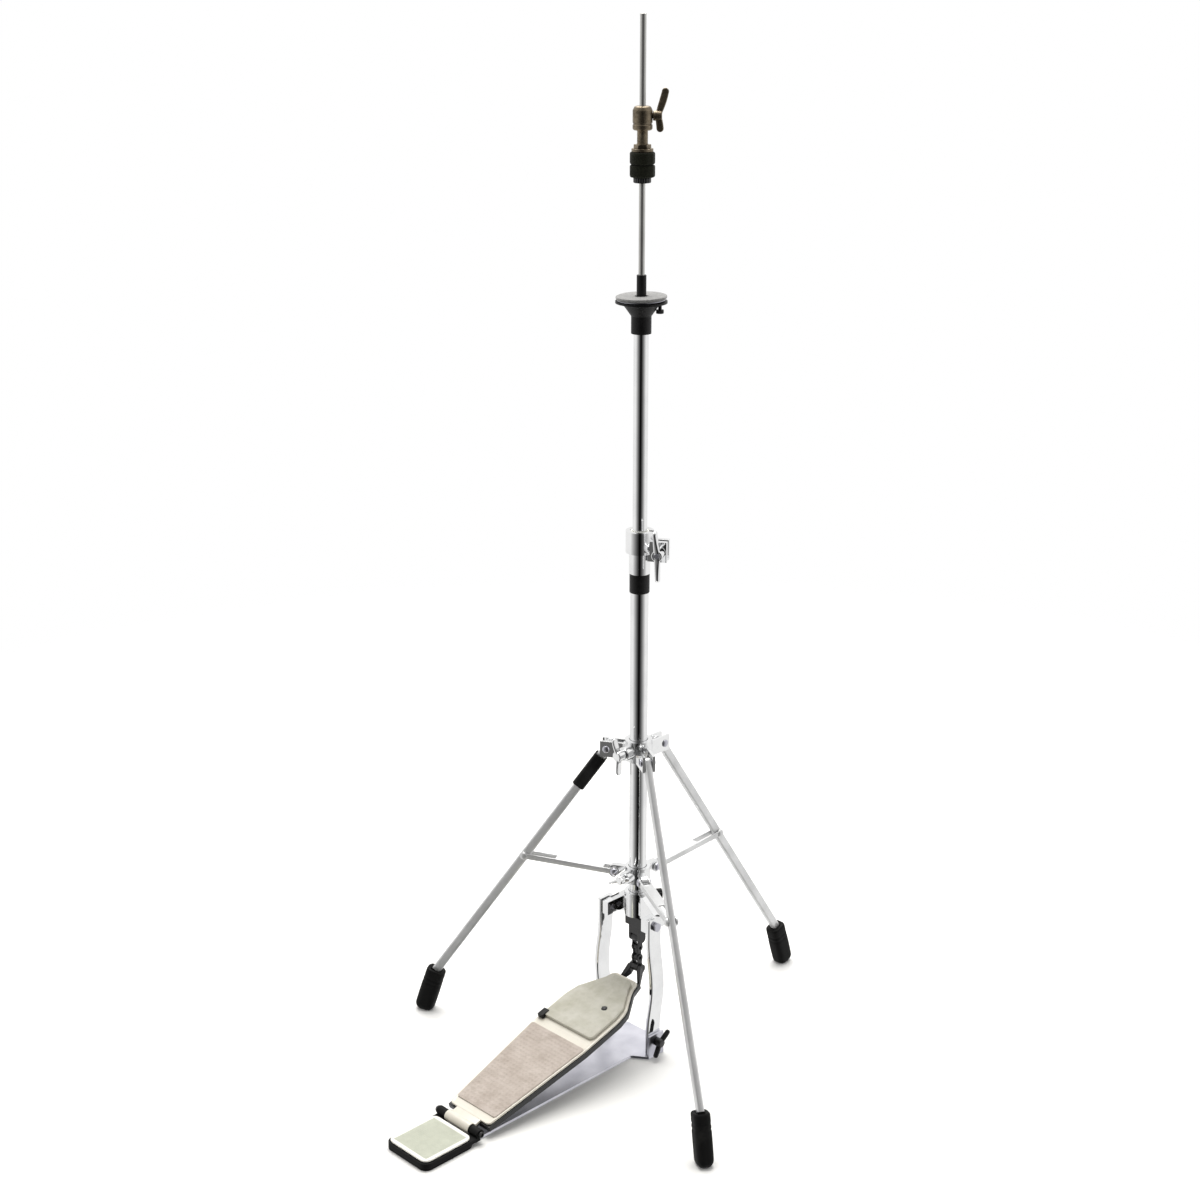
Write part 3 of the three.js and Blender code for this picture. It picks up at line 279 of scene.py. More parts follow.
def threaded(radius, low, high, pitch=1.0, depth=0.35, sides=36, bore=0.0):
    """Screw thread: radius - depth |2 f - 1| where f is the fraction of z / pitch - a / (2 pi). With a bore
    it is a hollow stem."""
    rows = int((high - low) / pitch * 6)
    z = np.linspace(low, high, rows if bore else max(8, rows))[:, None]
    a = np.linspace(0, 2 * math.pi, sides, endpoint=False)[None, :]
    f = np.mod(z / pitch - a / (2 * math.pi), 1.0)
    fade = np.clip(np.minimum(z - low, high - z) / pitch, 0, 1)
    rings = round_z(radius - depth * (1 - fade * (1 - np.abs(2 * f - 1))), z, a)
    return skin(np.concatenate([rings, bored(bore, a, high, low)]), closed=True) if bore else skin(rings)


def fluted(radius, low, high, lobes, depth, edge=0.8, bore=0.0):
    """Grip: radius - depth (1 - |cos(lobes a / 2)|) round the Z axis, its ends drawn in by round edges. With
    a bore it is a knurled ring."""
    a = np.linspace(0, 2 * math.pi, lobes * 8, endpoint=False)[None, :]
    path = edge_path(low, high, edge)
    inset = path[:, :1]
    wave = depth * (1 - np.abs(np.cos(lobes * a / 2))) * (1 - inset / edge)
    rings = round_z(radius - inset - wave, path[:, 1:], a)
    if not bore:
        return skin(rings)
    return skin(np.concatenate([rings, bored(bore, a, high - 0.2, low + 0.2)]), closed=True)


def hexagon(across, low, high, bore=0.0, edge=0.5):
    """Hexagonal nut or head: outline |r| = across / (2 cos(a mod 60 - 30)), its top corners chamfered."""
    a = np.linspace(0, 2 * math.pi, 48, endpoint=False)[None, :]
    flat = across / 2 / np.cos(np.mod(a, math.pi / 3) - math.pi / 6)
    path = edge_path(low, high, edge)
    inset = path[:, :1]
    r = np.minimum(flat, across / 2 * 1.14 - inset) - inset * 0.3
    rings = round_z(r, path[:, 1:], a)
    if not bore:
        return skin(rings)
    return skin(np.concatenate([rings, bored(bore, a, high - 0.3, low + 0.3)]), closed=True)


def along_x(shape):
    """A shape made up the Z axis laid along +X."""
    return shape.turned("y", 90)


def along_y(shape):
    """A shape made up the Z axis laid along +Y."""
    return shape.turned("x", -90)


def wing_ear(sizes):
    """One ear of a wing screw, towards +Y. At a distance y from the axis it is a superellipse whose two edges
    run straight from the hub to a round tip, and it grows thinner towards the tip."""
    hub, length, root, reach, lean, tip, thick = sizes
    centre = root + lean + tip
    past = tip * np.sin(np.linspace(0.12, 1.5, 9))
    y = np.concatenate([np.linspace(0.0, reach - tip, 14), reach - tip + past])
    s = np.clip((y - hub / 2) / (reach - tip - hub / 2), 0, 1)
    curve = s + 0.12 * np.sin(math.pi * s)
    left = root + (centre - tip - root) * s
    right = length + (centre + tip - length) * curve
    beyond = np.sqrt(np.maximum(0.004, 1 - (np.maximum(0, y - (reach - tip)) / tip) ** 2))
    half = (right - left) / 2 * beyond
    mid = (right + left) / 2
    depth = thick / 2 * (1.25 - 0.4 * s) * np.minimum(1, 0.25 + beyond)
    a = np.linspace(0, 2 * math.pi, 28, endpoint=False)[None, :]
    power = 0.6
    cx = np.sign(np.cos(a)) * np.abs(np.cos(a)) ** power
    cz = np.sign(np.sin(a)) * np.abs(np.sin(a)) ** power
    x = mid[:, None] + half[:, None] * cx
    return skin(np.stack([x, np.broadcast_to(y[:, None], x.shape), depth[:, None] * cz], -1))


def wing(sizes, shank_radius=0.0, shank=0.0, bore=0.0, other=None):
    """Wing screw or nut along +X, its second ear of its own size if one is given."""
    hub, length = sizes[:2]
    ears = wing_ear(sizes) + wing_ear(other or sizes).mirrored(1)
    if shank:
        body = stud(hub, 0, length, 1.2) + threaded(shank_radius, -shank, 0.5)
    else:
        body = hollow(hub, bore, 0, length, 1.2, 48)
    return along_x(body) + ears


# ---- shader nodes -------------------------------------------------------------------------------
class Value:
    """A number that varies over a surface. Arithmetic on it adds Math nodes."""

    def __init__(self, tree, socket):
        self.tree, self.socket = tree, socket

    def _math(self, operation, *values, clamp=False):
        node = self.tree.nodes.new("ShaderNodeMath")
        node.operation, node.use_clamp = operation, clamp
        for i, value in enumerate(values):
            if isinstance(value, Value):
                self.tree.links.new(value.socket, node.inputs[i])
            else:
                node.inputs[i].default_value = value
        return Value(self.tree, node.outputs[0])

    def __add__(self, other):
        return self._math("ADD", self, other)

    def __sub__(self, other):
        return self._math("SUBTRACT", self, other)

    def __mul__(self, other):
        return self._math("MULTIPLY", self, other)

    def __truediv__(self, other):
        return self._math("DIVIDE", self, other)

    def __rsub__(self, other):
        return self._math("SUBTRACT", other, self)

    def __pow__(self, other):
        return self._math("POWER", self, other)

    __radd__ = __add__
    __rmul__ = __mul__

    def size(self):
        return self._math("ABSOLUTE", self)

    def wave(self):
        return self._math("SINE", self)

    def most(self, other):
        return self._math("MAXIMUM", self, other)

    def least(self, other):
        return self._math("MINIMUM", self, other)

    def ramp(self, low, high):
        """0 below low, 1 above high, straight between."""
        return self._math("MULTIPLY", self - low, 1 / (high - low), clamp=True)


class Finish:
    """A material built from nodes round one Principled shader."""

    def __init__(self, name, **constants):
        self.material = bpy.data.materials.new(name)
        self.material.use_nodes = True
        self.tree = self.material.node_tree
        self.tree.nodes.clear()
        self.shader = self.tree.nodes.new("ShaderNodeBsdfPrincipled")
        output = self.tree.nodes.new("ShaderNodeOutputMaterial")
        self.tree.links.new(self.shader.outputs[0], output.inputs[0])
        self.place = self.node("ShaderNodeTexCoord", out="Object")
        self.set(**constants)

    def node(self, kind, settings=None, inputs=None, out=0):
        """Adds a node: its settings first, then the values or links of its sockets. Returns one output."""
        node = self.tree.nodes.new(kind)
        for key, value in (settings or {}).items():
            if key == "stops":
                for element, (place, colour) in zip(node.color_ramp.elements, value):
                    element.position, element.color = place, (*colour, 1)
            else:
                setattr(node, key, value)
        for key, value in (inputs or {}).items():
            if isinstance(value, Value):
                self.tree.links.new(value.socket, node.inputs[key])
            else:
                node.inputs[key].default_value = value
        return Value(self.tree, node.outputs[out])

    def set(self, **inputs):
        """Values or links of the shader's own sockets; an underscore stands for a space."""
        for key, value in inputs.items():
            socket = self.shader.inputs[key.replace("_", " ").title().replace("Ior", "IOR")]
            if isinstance(value, Value):
                self.tree.links.new(value.socket, socket)
            else:
                socket.default_value = value

    def stretched(self, x, y, z):
        return self.node("ShaderNodeMapping", inputs={"Vector": self.place, "Scale": (x, y, z)})

    def noise(self, scale, detail=3.0, rough=0.5, place=None):
        inputs = {"Vector": place or self.place, "Scale": scale, "Detail": detail, "Roughness": rough}
        return self.node("ShaderNodeTexNoise", inputs=inputs)

    def cells(self, scale, place=None):
        inputs = {"Vector": place or self.place, "Scale": scale}
        return self.node("ShaderNodeTexVoronoi", inputs=inputs)

    def axes(self):
        parts = self.tree.nodes.new("ShaderNodeSeparateXYZ")
        self.tree.links.new(self.place.socket, parts.inputs[0])
        return [Value(self.tree, s) for s in parts.outputs]

    def mix(self, mask, first, second):
        """One colour turning into another as the mask goes from 0 to 1."""
        settings = {"data_type": "RGBA"}
        inputs = {0: mask, 6: first if isinstance(first, Value) else (*first, 1), 7: (*second, 1)}
        return self.node("ShaderNodeMix", settings, inputs, out=2)

    def bump(self, height, strength, distance):
        inputs = {"Height": height, "Strength": strength, "Distance": distance}
        self.set(normal=self.node("ShaderNodeBump", inputs=inputs))


def linear(red, green, blue):
    """Screen colour from 0 to 255 as the linear colour that a shader takes."""
    c = np.array([red, green, blue]) / 255
    return tuple(np.where(c <= 0.04045, c / 12.92, ((c + 0.055) / 1.055) ** 2.4).tolist())


def chrome():
    f = Finish("chrome", metallic=1.0)
    smudge = f.noise(28.0, 4.0, 0.6).ramp(0.42, 0.7)
    scratch = f.noise(900.0, 2.0, 0.7, f.stretched(1, 1, 0.05)).ramp(0.62, 0.8)
    f.set(base_color=f.mix(smudge, (0.91, 0.915, 0.92), (0.83, 0.835, 0.845)),
          roughness=0.06 + smudge * 0.07 + scratch * 0.10)
    f.bump(f.noise(140.0, 2.0), 0.06, 0.0006)
    return f


def leg_chrome():
    """Duller plating of the flat bars: part of it answers the light whichever way it lies."""
    f = Finish("leg_chrome", metallic=0.6)
    smudge = f.noise(24.0, 4.0, 0.6).ramp(0.42, 0.7)
    f.set(base_color=f.mix(smudge, (0.78, 0.785, 0.79), (0.64, 0.645, 0.65)), roughness=0.3 + smudge * 0.12)
    f.bump(f.noise(160.0, 2.0), 0.05, 0.0005)
    return f


def steel():
    f = Finish("zinc_steel", metallic=1.0)
    grain = f.noise(420.0, 4.0, 0.6, f.stretched(1, 0.06, 1))
    bloom = f.noise(35.0, 3.0)
    f.set(base_color=f.mix(bloom.ramp(0.35, 0.7), (0.66, 0.66, 0.72), (0.52, 0.52, 0.58)),
          roughness=0.24 + grain * 0.14)
    f.bump(grain, 0.12, 0.0002)
    return f


def ground_rod():
    f = Finish("ground_steel_rod", metallic=1.0)
    rings = f.noise(2600.0, 2.0, 0.6, f.stretched(0.02, 0.02, 1))
    wear = f.noise(18.0, 3.0).ramp(0.4, 0.75)
    f.set(base_color=f.mix(wear, (0.62, 0.62, 0.60), (0.48, 0.48, 0.46)), roughness=0.34 + rings * 0.14)
    f.bump(rings, 0.1, 0.0001)
    return f


def bronze():
    f = Finish("bronze_plate", metallic=0.9)
    stain = f.noise(120.0, 4.0, 0.6).ramp(0.35, 0.72)
    rub = f.noise(520.0, 3.0, 0.6).ramp(0.45, 0.8)
    colour = f.mix(stain, (0.26, 0.21, 0.145), (0.10, 0.08, 0.055))
    f.set(base_color=f.mix(rub * 0.4, colour, (0.42, 0.37, 0.29)), roughness=0.3 + stain * 0.14)
    f.bump(f.noise(900.0, 3.0), 0.12, 0.00025)
    return f


def black_metal():
    f = Finish("satin_black_metal", metallic=0.25, coat_roughness=0.25)
    peel = f.noise(1400.0, 2.0, 0.5)
    scuff = f.noise(210.0, 5.0, 0.7).ramp(0.6, 0.78)
    f.set(base_color=f.mix(scuff * 0.5, (0.010, 0.010, 0.011), (0.055, 0.055, 0.06)),
          roughness=0.34 + scuff * 0.25, coat_weight=0.35 - scuff * 0.3)
    f.bump(peel, 0.18, 0.00025)
    return f


def black_rubber():
    f = Finish("black_rubber", specular_ior_level=0.15)
    stipple = f.noise(2200.0, 2.0, 0.6)
    dust = f.noise(70.0, 5.0, 0.65).ramp(0.5, 0.8)
    f.set(base_color=f.mix(dust * 0.6, (0.006, 0.006, 0.006), (0.030, 0.029, 0.027)),
          roughness=0.62 + dust * 0.22)
    f.bump(stipple, 0.3, 0.0003)
    return f


def black_plastic():
    f = Finish("moulded_black_plastic", specular_ior_level=0.25)
    grain = f.cells(1500.0)
    haze = f.noise(60.0, 3.0).ramp(0.4, 0.8)
    f.set(base_color=f.mix(haze, (0.006, 0.006, 0.006), (0.015, 0.015, 0.016)), roughness=0.4 + haze * 0.16)
    f.bump(grain, 0.12, 0.0002)
    return f


def cream_enamel():
    f = Finish("cream_enamel", coat_roughness=0.15)
    speck = f.noise(1500.0, 2.0).ramp(0.66, 0.74)
    soil = f.noise(42.0, 5.0, 0.65).ramp(0.45, 0.8)
    base = f.mix(soil * 0.55, linear(222, 217, 204), linear(205, 198, 182))
    f.set(base_color=f.mix(speck * 0.35, base, linear(170, 160, 140)), roughness=0.3 + soil * 0.2,
          coat_weight=0.4 - soil * 0.25)
    f.bump(f.noise(700.0, 2.0), 0.08, 0.0003)
    return f


def heel_enamel():
    """Cream border round a grey-green field with small raised diamonds, laid out from the plate's box."""
    f = Finish("heel_enamel", coat_roughness=0.2)
    low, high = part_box("heel_plate")
    x, y, _ = f.axes()
    side = x.size() - (high.x - 4.4 * MM)
    end = (y - (low.y + high.y) / 2).size() - ((high.y - low.y) / 2 - 4.4 * MM)
    border = side.most(end).ramp(-0.0008, 0.0004)
    soil = f.noise(55.0, 5.0, 0.65).ramp(0.4, 0.75)
    field = f.mix(soil, linear(184, 187, 170), linear(168, 171, 155))
    f.set(base_color=f.mix(border, field, linear(242, 240, 232)), roughness=0.38 + soil * 0.15,
          coat_weight=0.15 + border * 0.2)
    rows = ((x + y) * 1250.0).wave() * ((x - y) * 1250.0).wave()
    f.bump(rows.most(0.0) * (1 - border), 0.5, 0.0005)
    return f


def grip_vinyl():
    f = Finish("ribbed_grip_vinyl", specular_ior_level=0.3)
    mottle = f.noise(60.0, 5.0, 0.65)
    dirt = f.noise(260.0, 4.0, 0.7).ramp(0.5, 0.8)
    base = f.mix(mottle.ramp(0.35, 0.68), linear(193, 182, 173), linear(173, 161, 151))
    f.set(base_color=f.mix(dirt * 0.5, base, linear(150, 140, 126)), roughness=0.68 + dirt * 0.15)
    f.bump(f.noise(1900.0, 3.0), 0.3, 0.0003)
    return f


def toe_vinyl():
    f = Finish("toe_pad_vinyl", specular_ior_level=0.3)
    mottle = f.noise(48.0, 5.0, 0.65)
    rub = f.noise(18.0, 2.0).ramp(0.45, 0.7)
    base = f.mix(mottle.ramp(0.35, 0.7), linear(200, 197, 186), linear(178, 176, 160))
    f.set(base_color=f.mix(rub * 0.4, base, linear(210, 208, 198)), roughness=0.6 + mottle * 0.15)
    f.bump(f.noise(1500.0, 3.0), 0.3, 0.0003)
    return f


def felt(name, light, dark, flecks, sheen=0.4):
    """Pressed felt: fine fibres from noise stretched three ways, paler flecks, and a soft sheen."""
    f = Finish(name, sheen_weight=sheen, sheen_roughness=0.6, specular_ior_level=0.15, roughness=0.95)
    one = f.noise(900.0, 4.0, 0.7, f.stretched(1, 0.25, 1))
    two = f.noise(1100.0, 4.0, 0.7, f.stretched(0.25, 1, 1))
    fibre = (one + two) * 0.5
    base = f.mix(fibre.ramp(0.38, 0.62), dark, light)
    f.set(base_color=f.mix(f.noise(2400.0, 2.0).ramp(0.66, 0.74), base, flecks))
    f.bump(fibre, 0.7, 0.0006)
    return f


def grey_felt():
    return felt("grey_felt", linear(150, 150, 149), linear(104, 104, 103), linear(176, 176, 174))


def dark_felt():
    return felt("dark_felt", linear(38, 40, 28), linear(16, 17, 10), linear(58, 60, 46), 0.06)


def white_nylon():
    f = Finish("white_nylon", roughness=0.4, specular_ior_level=0.4)
    f.set(base_color=f.mix(f.noise(300.0, 4.0), linear(236, 236, 230), linear(216, 216, 208)))
    f.bump(f.noise(800.0, 2.0), 0.1, 0.0002)
    return f


FINISHES = {
    f.__name__: f
    for f in (chrome, leg_chrome, steel, ground_rod, bronze, black_metal, black_rubber, black_plastic,
              cream_enamel, heel_enamel, grip_vinyl, toe_vinyl, grey_felt, dark_felt, white_nylon)
}
made_finishes = {}


def finish_of(name):
    if name not in made_finishes:
        made_finishes[name] = FINISHES[name]().material
    return made_finishes[name]


def finished(mesh, name, finish, body, replaced, sharp):
    """Shades a mesh smooth up to an angle and puts it on its body, in place of the CAD nodes it is for."""
    mesh.shade_smooth()
    mesh.set_sharp_from_angle(angle=math.radians(sharp))
    piece = bpy.data.objects.new(name, mesh)
    bpy.context.scene.collection.objects.link(piece)
    piece.data.materials.append(finish_of(finish))
    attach(piece, body)
    if replaced:
        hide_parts(*replaced)
    return piece


def add(name, shape, body, finish, replaced=(), sharp=38):
    """A shape as a piece that rides on a body."""
    mesh = bpy.data.meshes.new(name)
    faces = shape.quads.tolist() + [c.tolist() for c in shape.caps]
    mesh.from_pydata((shape.points * MM).tolist(), [], faces)
    mesh.update()
    return finished(mesh, name, finish, body, replaced, sharp)


def softened(node, finish, edge, segments=3):
    """A copy of a CAD node with its loose triangles merged into whole faces and its edges rounded."""
    cad = frame["nodes"][node]
    work = bmesh.new()
    work.from_mesh(cad.data)
    bmesh.ops.remove_doubles(work, verts=work.verts, dist=5e-6)
    bmesh.ops.dissolve_limit(work, angle_limit=math.radians(1), verts=work.verts, edges=work.edges)
    mesh = bpy.data.meshes.new(node + "_piece")
    work.to_mesh(mesh)
    work.free()
    for name in [a.name for a in mesh.attributes if a.name == "custom_normal"]:
        mesh.attributes.remove(mesh.attributes[name])
    mesh.materials.clear()
    piece = finished(mesh, node + "_piece", finish, cad["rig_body"], (node,), 180)
    bevel = piece.modifiers.new("edges", "BEVEL")
    bevel.width = edge * MM
    bevel.segments = segments
    bevel.limit_method = "ANGLE"
    bevel.angle_limit = math.radians(34)
    bevel.harden_normals = True
    return piece


# ---- sizes that a user would change -------------------------------------------------------------
def length(label, text, default):
    return bpy.props.FloatProperty(name=label, description=text, default=default, unit="LENGTH", precision=4)


def angle(label, text, default):
    turn = math.radians(default)
    return bpy.props.FloatProperty(name=label, description=text, default=turn, unit="ROTATION")


class TubeSizes(bpy.types.PropertyGroup):
    base_radius: length("Base tube", "Outside radius of the lower tube", radius_of("base_tube"))
    upper_radius: length("Upper tube", "Outside radius of the sliding tube", radius_of("upper_tube"))
    base_wall: length("Base wall", "Wall of the lower tube", 1.0 * MM)
    upper_wall: length("Upper wall", "Wall of the sliding tube", 1.6 * MM)
    rod_radius: length("Pull rod", "Radius of the pull rod", radius_of("upper_pull_rod"))


class PedalSizes(bpy.types.PropertyGroup):
    slope: angle("Slope", "Angle of the footboard to the floor", 16.0)
    hinge_y: length("Hinge reach", "Place of the heel hinge along Y", -270.0 * MM)
    hinge_z: length("Hinge height", "Height of the heel hinge", 11.0 * MM)
    rib_pitch: length("Rib pitch", "Spacing of the grip's raised dots", 5.0 * MM)


class TripodSizes(bpy.types.PropertyGroup):
    leg_angle: angle("Leg angle", "Angle of each open leg from upright", 34.2)
    leg_depth: length("Leg depth", "Depth of the leg's bar", 10.5 * MM)
    leg_thick: length("Leg thickness", "Thickness of the leg's bar", 7.5 * MM)
    hinge_reach: length("Hinge reach", "Distance of the leg hinges from the axis", 35.0 * MM)
    hinge_z: length("Hinge height", "Height of the leg hinges", 360.0 * MM)


class SeatSizes(bpy.types.PropertyGroup):
    tilt: angle("Tilt", "How far the cymbal felt is tipped up", 1.5)
    azimuth: angle("Screw side", "Direction of the tilt screw and of the clutch's wing", 44.0)
    felt_radius: length("Felt radius", "Radius of the cymbal seat's felt", 26.5 * MM)


class StudioLook(bpy.types.PropertyGroup):
    floor_colour: bpy.props.FloatVectorProperty(
        name="Floor", description="Colour of the pale floor", subtype="COLOR", size=3, min=0, max=1,
        default=(0.96, 0.955, 0.93))
    softbox_power: bpy.props.FloatProperty(
        name="Softbox", description="Power of the light overhead", default=70.0, min=0, unit="POWER")


GROUPS = {"hat_tubes": TubeSizes, "hat_pedal": PedalSizes, "hat_tripod": TripodSizes, "hat_seat": SeatSizes,
          "hat_studio": StudioLook}


# ---- sole and heel ------------------------------------------------------------------------------
class STAND_OT_sole(bpy.types.Operator):
    """Steel sole plate with its two ears, pivot bolt and wing screw"""
    bl_idname = "stand.sole"
    bl_label = "Sole plate"

    def execute(self, context):
        softened("sole_plate", "steel", 0.5)
        softened("base_pivot_bolt", "steel", 0.5, 2)
        face, side_y, height = 44.1, -13.0, 19.0
        screw = wing((5, 9, 3, 17.5, 2, 3.2, 3), shank_radius=3.0, shank=face - 32.5)
        screw = screw.turned("x", 50).moved(face, side_y, height)
        add("base_wing_screw_piece", screw, "base_screw", "black_metal", ["base_wing_screw"])
        return {"FINISHED"}


class STAND_OT_heel(bpy.types.Operator):
    """Rubber heel base, enamelled heel plate with a raised border, and the hinge pin"""
    bl_idname = "stand.heel"
    bl_label = "Heel"

    def execute(self, context):
        softened("heel_base", "black_rubber", 0.9)
        low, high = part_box("heel_plate")
        half_x, half_y = high.x / MM, (high.y - low.y) / 2 / MM
        middle = (low.y + high.y) / 2 / MM
        outline = rectangle(half_x, half_y, 9.5, (0, middle), 8)
        bottom, top = low.z / MM, high.z / MM
        field = [(3.6, top), (4.2, top - 0.35), (4.8, top - 0.55), (5.6, top - 0.55)]
        path = np.vstack([edge_path(bottom, top, 0.9), field])
        add("heel_plate_piece", stepped_plate(outline, path), "base", "heel_enamel", ["heel_plate"])
        end = 33 + GAP
        pin = (stud(2, -end - 1, end + 1) + dome_head(4.4, end, 4.7).turned("y", 180)
               + hollow(3.4, 2.0, end, end + 2.2, 0.5))
        pedal = context.scene.hat_pedal
        pin = along_x(pin).moved(0, pedal.hinge_y / MM, pedal.hinge_z / MM)
        add("heel_hinge_pin_piece", pin, "base", "black_metal", ["heel_hinge_pin"])
        return {"FINISHED"}


# ---- footboard ----------------------------------------------------------------------------------
BOARD_END = 264.97
BOARD_CORNERS = [(12, 33), (150, 45), (BOARD_END - 60, 45), (BOARD_END - 44, 42), (BOARD_END - 16, 24),
                 (BOARD_END, 20)]


def half_width(u):
    """Half-width of the footboard at a distance u from the hinge."""
    corners = np.array(BOARD_CORNERS, float)
    return np.interp(u, corners[:, 0], corners[:, 1])


def board_outline(start, end, inset, corner):
    """Outline of the footboard between two distances from the hinge, with its corners rounded."""
    inner = [u for u, _ in BOARD_CORNERS if start < u < end]
    u = np.array([start, *inner, end], float)
    right = np.stack([half_width(u) - inset, u], -1)
    left = right[::-1] * [-1, 1]
    return rounded(np.vstack([right, left]), corner, 6)


def on_board(context, shape):
    pedal = context.scene.hat_pedal
    return shape.turned("x", math.degrees(pedal.slope)).moved(0, pedal.hinge_y / MM, pedal.hinge_z / MM)


def dotted_pad(start, end, inset, low, thick, pitch, raised, corner):
    """Pad over the footboard. Its top is low + thick + raised max(0, sin(pi (u + x) / pitch)
    sin(pi (u - x) / pitch)), falling in a quarter circle at the sides, and its ends are drawn in as round
    corners: the half-width loses corner (1 - sqrt(1 - (1 - d / corner)^2)) at a distance d from an end."""
    edge = 0.8
    steps = int((end - start) / 0.8)
    u = np.concatenate([[start], np.linspace(start + 0.3, end - 0.3, steps), [end]])
    near = np.clip(np.minimum(u - start, end - u) / corner, 0, 1)
    half = half_width(u) - inset - corner * (1 - np.sqrt(1 - (1 - near) ** 2))
    across = 91
    s = np.sin(np.linspace(-1, 1, across) * math.pi / 2)[None, :]
    x = half[:, None] * s
    from_side = np.minimum(half[:, None] - np.abs(x), np.minimum(u - start, end - u)[:, None])
    roll = np.clip(from_side / edge, 0, 1)
    drop = edge * (1 - np.sqrt(1 - (1 - roll) ** 2))
    dots = np.sin(math.pi * (u[:, None] + x) / pitch) * np.sin(math.pi * (u[:, None] - x) / pitch)
    inside = np.clip((from_side - 2.0) / 1.5, 0, 1)
    top = low + thick - drop + raised * np.maximum(0, dots) * inside
    length_ = np.broadcast_to(u[:, None], x.shape)
    upper = np.stack([x, length_, top], -1)
    lower = np.stack([x[:, ::-1], length_, np.full_like(x, low)], -1)
    return skin(np.concatenate([upper, lower[:, 1:-1]], 1))


class STAND_OT_footboard(bpy.types.Operator):
    """Footboard: black frame, cream plate, dotted grip, toe pad with its clip and screw, and the toe fork"""
    bl_idname = "stand.footboard"
    bl_label = "Footboard"

    def execute(self, context):
        softened("footboard_frame", "black_metal", 0.8)
        top, thick, rim = 1.5, 2.6, 1.6
        outline = board_outline(12 + rim, BOARD_END - rim, rim, 6)
        path = np.vstack([edge_path(top - thick, top, 0.7), [(2.8, top), (3.3, top - 0.3), (3.9, top - 0.3)]])
        cream = on_board(context, stepped_plate(outline, path))
        add("footboard_plate_piece", cream, "footboard", "cream_enamel", ["footboard_plate"])

        turn = np.linspace(math.radians(14), math.radians(205), 24)[:, None]
        around = np.hstack([np.cos(turn), np.sin(turn)])
        roll = np.vstack([[(14.5, 1.3)], 6.1 * around, 5.2 * around[::-1], [(5.4, -1.05), (14.5, -1.05)]])
        cover = standing(plate(roll, -18.8, 18.8, 0.3)).turned("z", 90)
        add("hinge_cover", on_board(context, cover), "footboard", "cream_enamel")

        low = top + GAP
        pitch = context.scene.hat_pedal.rib_pitch / MM
        grip = dotted_pad(24, 151.97, 3.5, low - 0.5, 1.3, pitch, 0.4, 3)
        add("footboard_grip_piece", on_board(context, grip), "footboard", "grip_vinyl", ["footboard_grip"])

        start, end = BOARD_END - 99, BOARD_END - 7
        pad = dotted_pad(start, end, 6, low, 3.6, 2 * pitch, 0.35, 5)
        add("toe_pad_piece", on_board(context, pad), "footboard", "toe_vinyl", ["toe_pad"])

        clip = plate(rectangle(4, 6, 1.2, (-38.5, start + 1)), low - 0.2, low + 4.9, 0.8)
        add("toe_pad_clip", on_board(context, clip), "footboard", "black_plastic")
        head = dome_head(3.6, low + 3.5, 1.6).moved(18, 209, 0)
        slot = plate(rectangle(3.0, 0.45, 0.2, (18, 209)), low + 4.4, low + 5.25, 0.1)
        add("toe_pad_screw", on_board(context, head + slot), "footboard", "black_metal")
        softened("toe_fork", "black_metal", 0.7)
        return {"FINISHED"}


# ---- linkage ------------------------------------------------------------------------------------
class STAND_OT_linkage(bpy.types.Operator):
    """Roller chain of three links and the link that joins it to the pull rod"""
    bl_idname = "stand.linkage"
    bl_label = "Chain and link"

    def execute(self, context):
        softened("pull_link", "black_metal", 0.7)
        bottom = 92.0
        pitch, links, plate_thick, half = 12.7, 3, 1.25, 5.0
        chain = None
        for i in range(links):
            outer = half - (plate_thick if i % 2 else 0)
            side = plate(slot_outline(0, pitch, 4.4, waist=0.72), outer - plate_thick, outer, 0.3)
            side = side.turned("y", -90).turned("z", 180).moved(0, 0, bottom + i * pitch).both_sides()
            chain = side if chain is None else chain + side
        for i in range(links + 1):
            end = i in (0, links)
            width = half if end else half - plate_thick
            hole = 3.1 if i == 0 else 2.1
            if end:
                roller = hollow(5.2, hole, -width, width, 0.5, 40)
            else:
                roller = stud(3.6, -width, width, 0.3) + stud(2.2, -half, half, 0.3)
            chain = chain + along_x(roller).moved(0, 0, bottom + i * pitch)
        add("drive_chain_piece", chain, "chain", "black_metal", ["drive_chain"])
        return {"FINISHED"}


# ---- frame --------------------------------------------------------------------------------------
class STAND_OT_frame(bpy.types.Operator):
    """Yoke, two bowed struts with their bolts, and the fluted tension knob"""
    bl_idname = "stand.frame"
    bl_label = "Frame"

    def execute(self, context):
        softened("frame_yoke", "chrome", 1.0)
        s = np.linspace(0, 1, 33)
        low, high, bottom, top = 31.0, 145.0, 3.3, 173.0
        x = 38 + 5.5 * np.sin(math.pi * s) ** 2
        z = low + (high - low) * s
        line = np.vstack([[38, bottom], np.stack([x, z], -1), [38, top]])
        outline = np.vstack([line + [2.5, 0], line[::-1] - [2.5, 0]])
        strut = standing(plate(outline, -10, 10, 1.4)).moved(0, -13, 0)
        add("strut_right_piece", strut, "base", "chrome", ["strut_right"])
        add("strut_left_piece", strut.mirrored(0), "base", "chrome", ["strut_left"])
        softened("strut_bolt_right", "steel", 0.5, 2)
        softened("strut_bolt_left", "steel", 0.5, 2)
        grip = (fluted(6.5, 2, 13, 9, 0.9) + stud(5, 0, 3) + threaded(3, -4.5, 1))
        knob = along_x(grip).moved(15.1, 0, 182).turned("z", 55)
        add("spring_tension_knob_piece", knob, "tension_knob", "black_plastic", ["spring_tension_knob"])
        return {"FINISHED"}


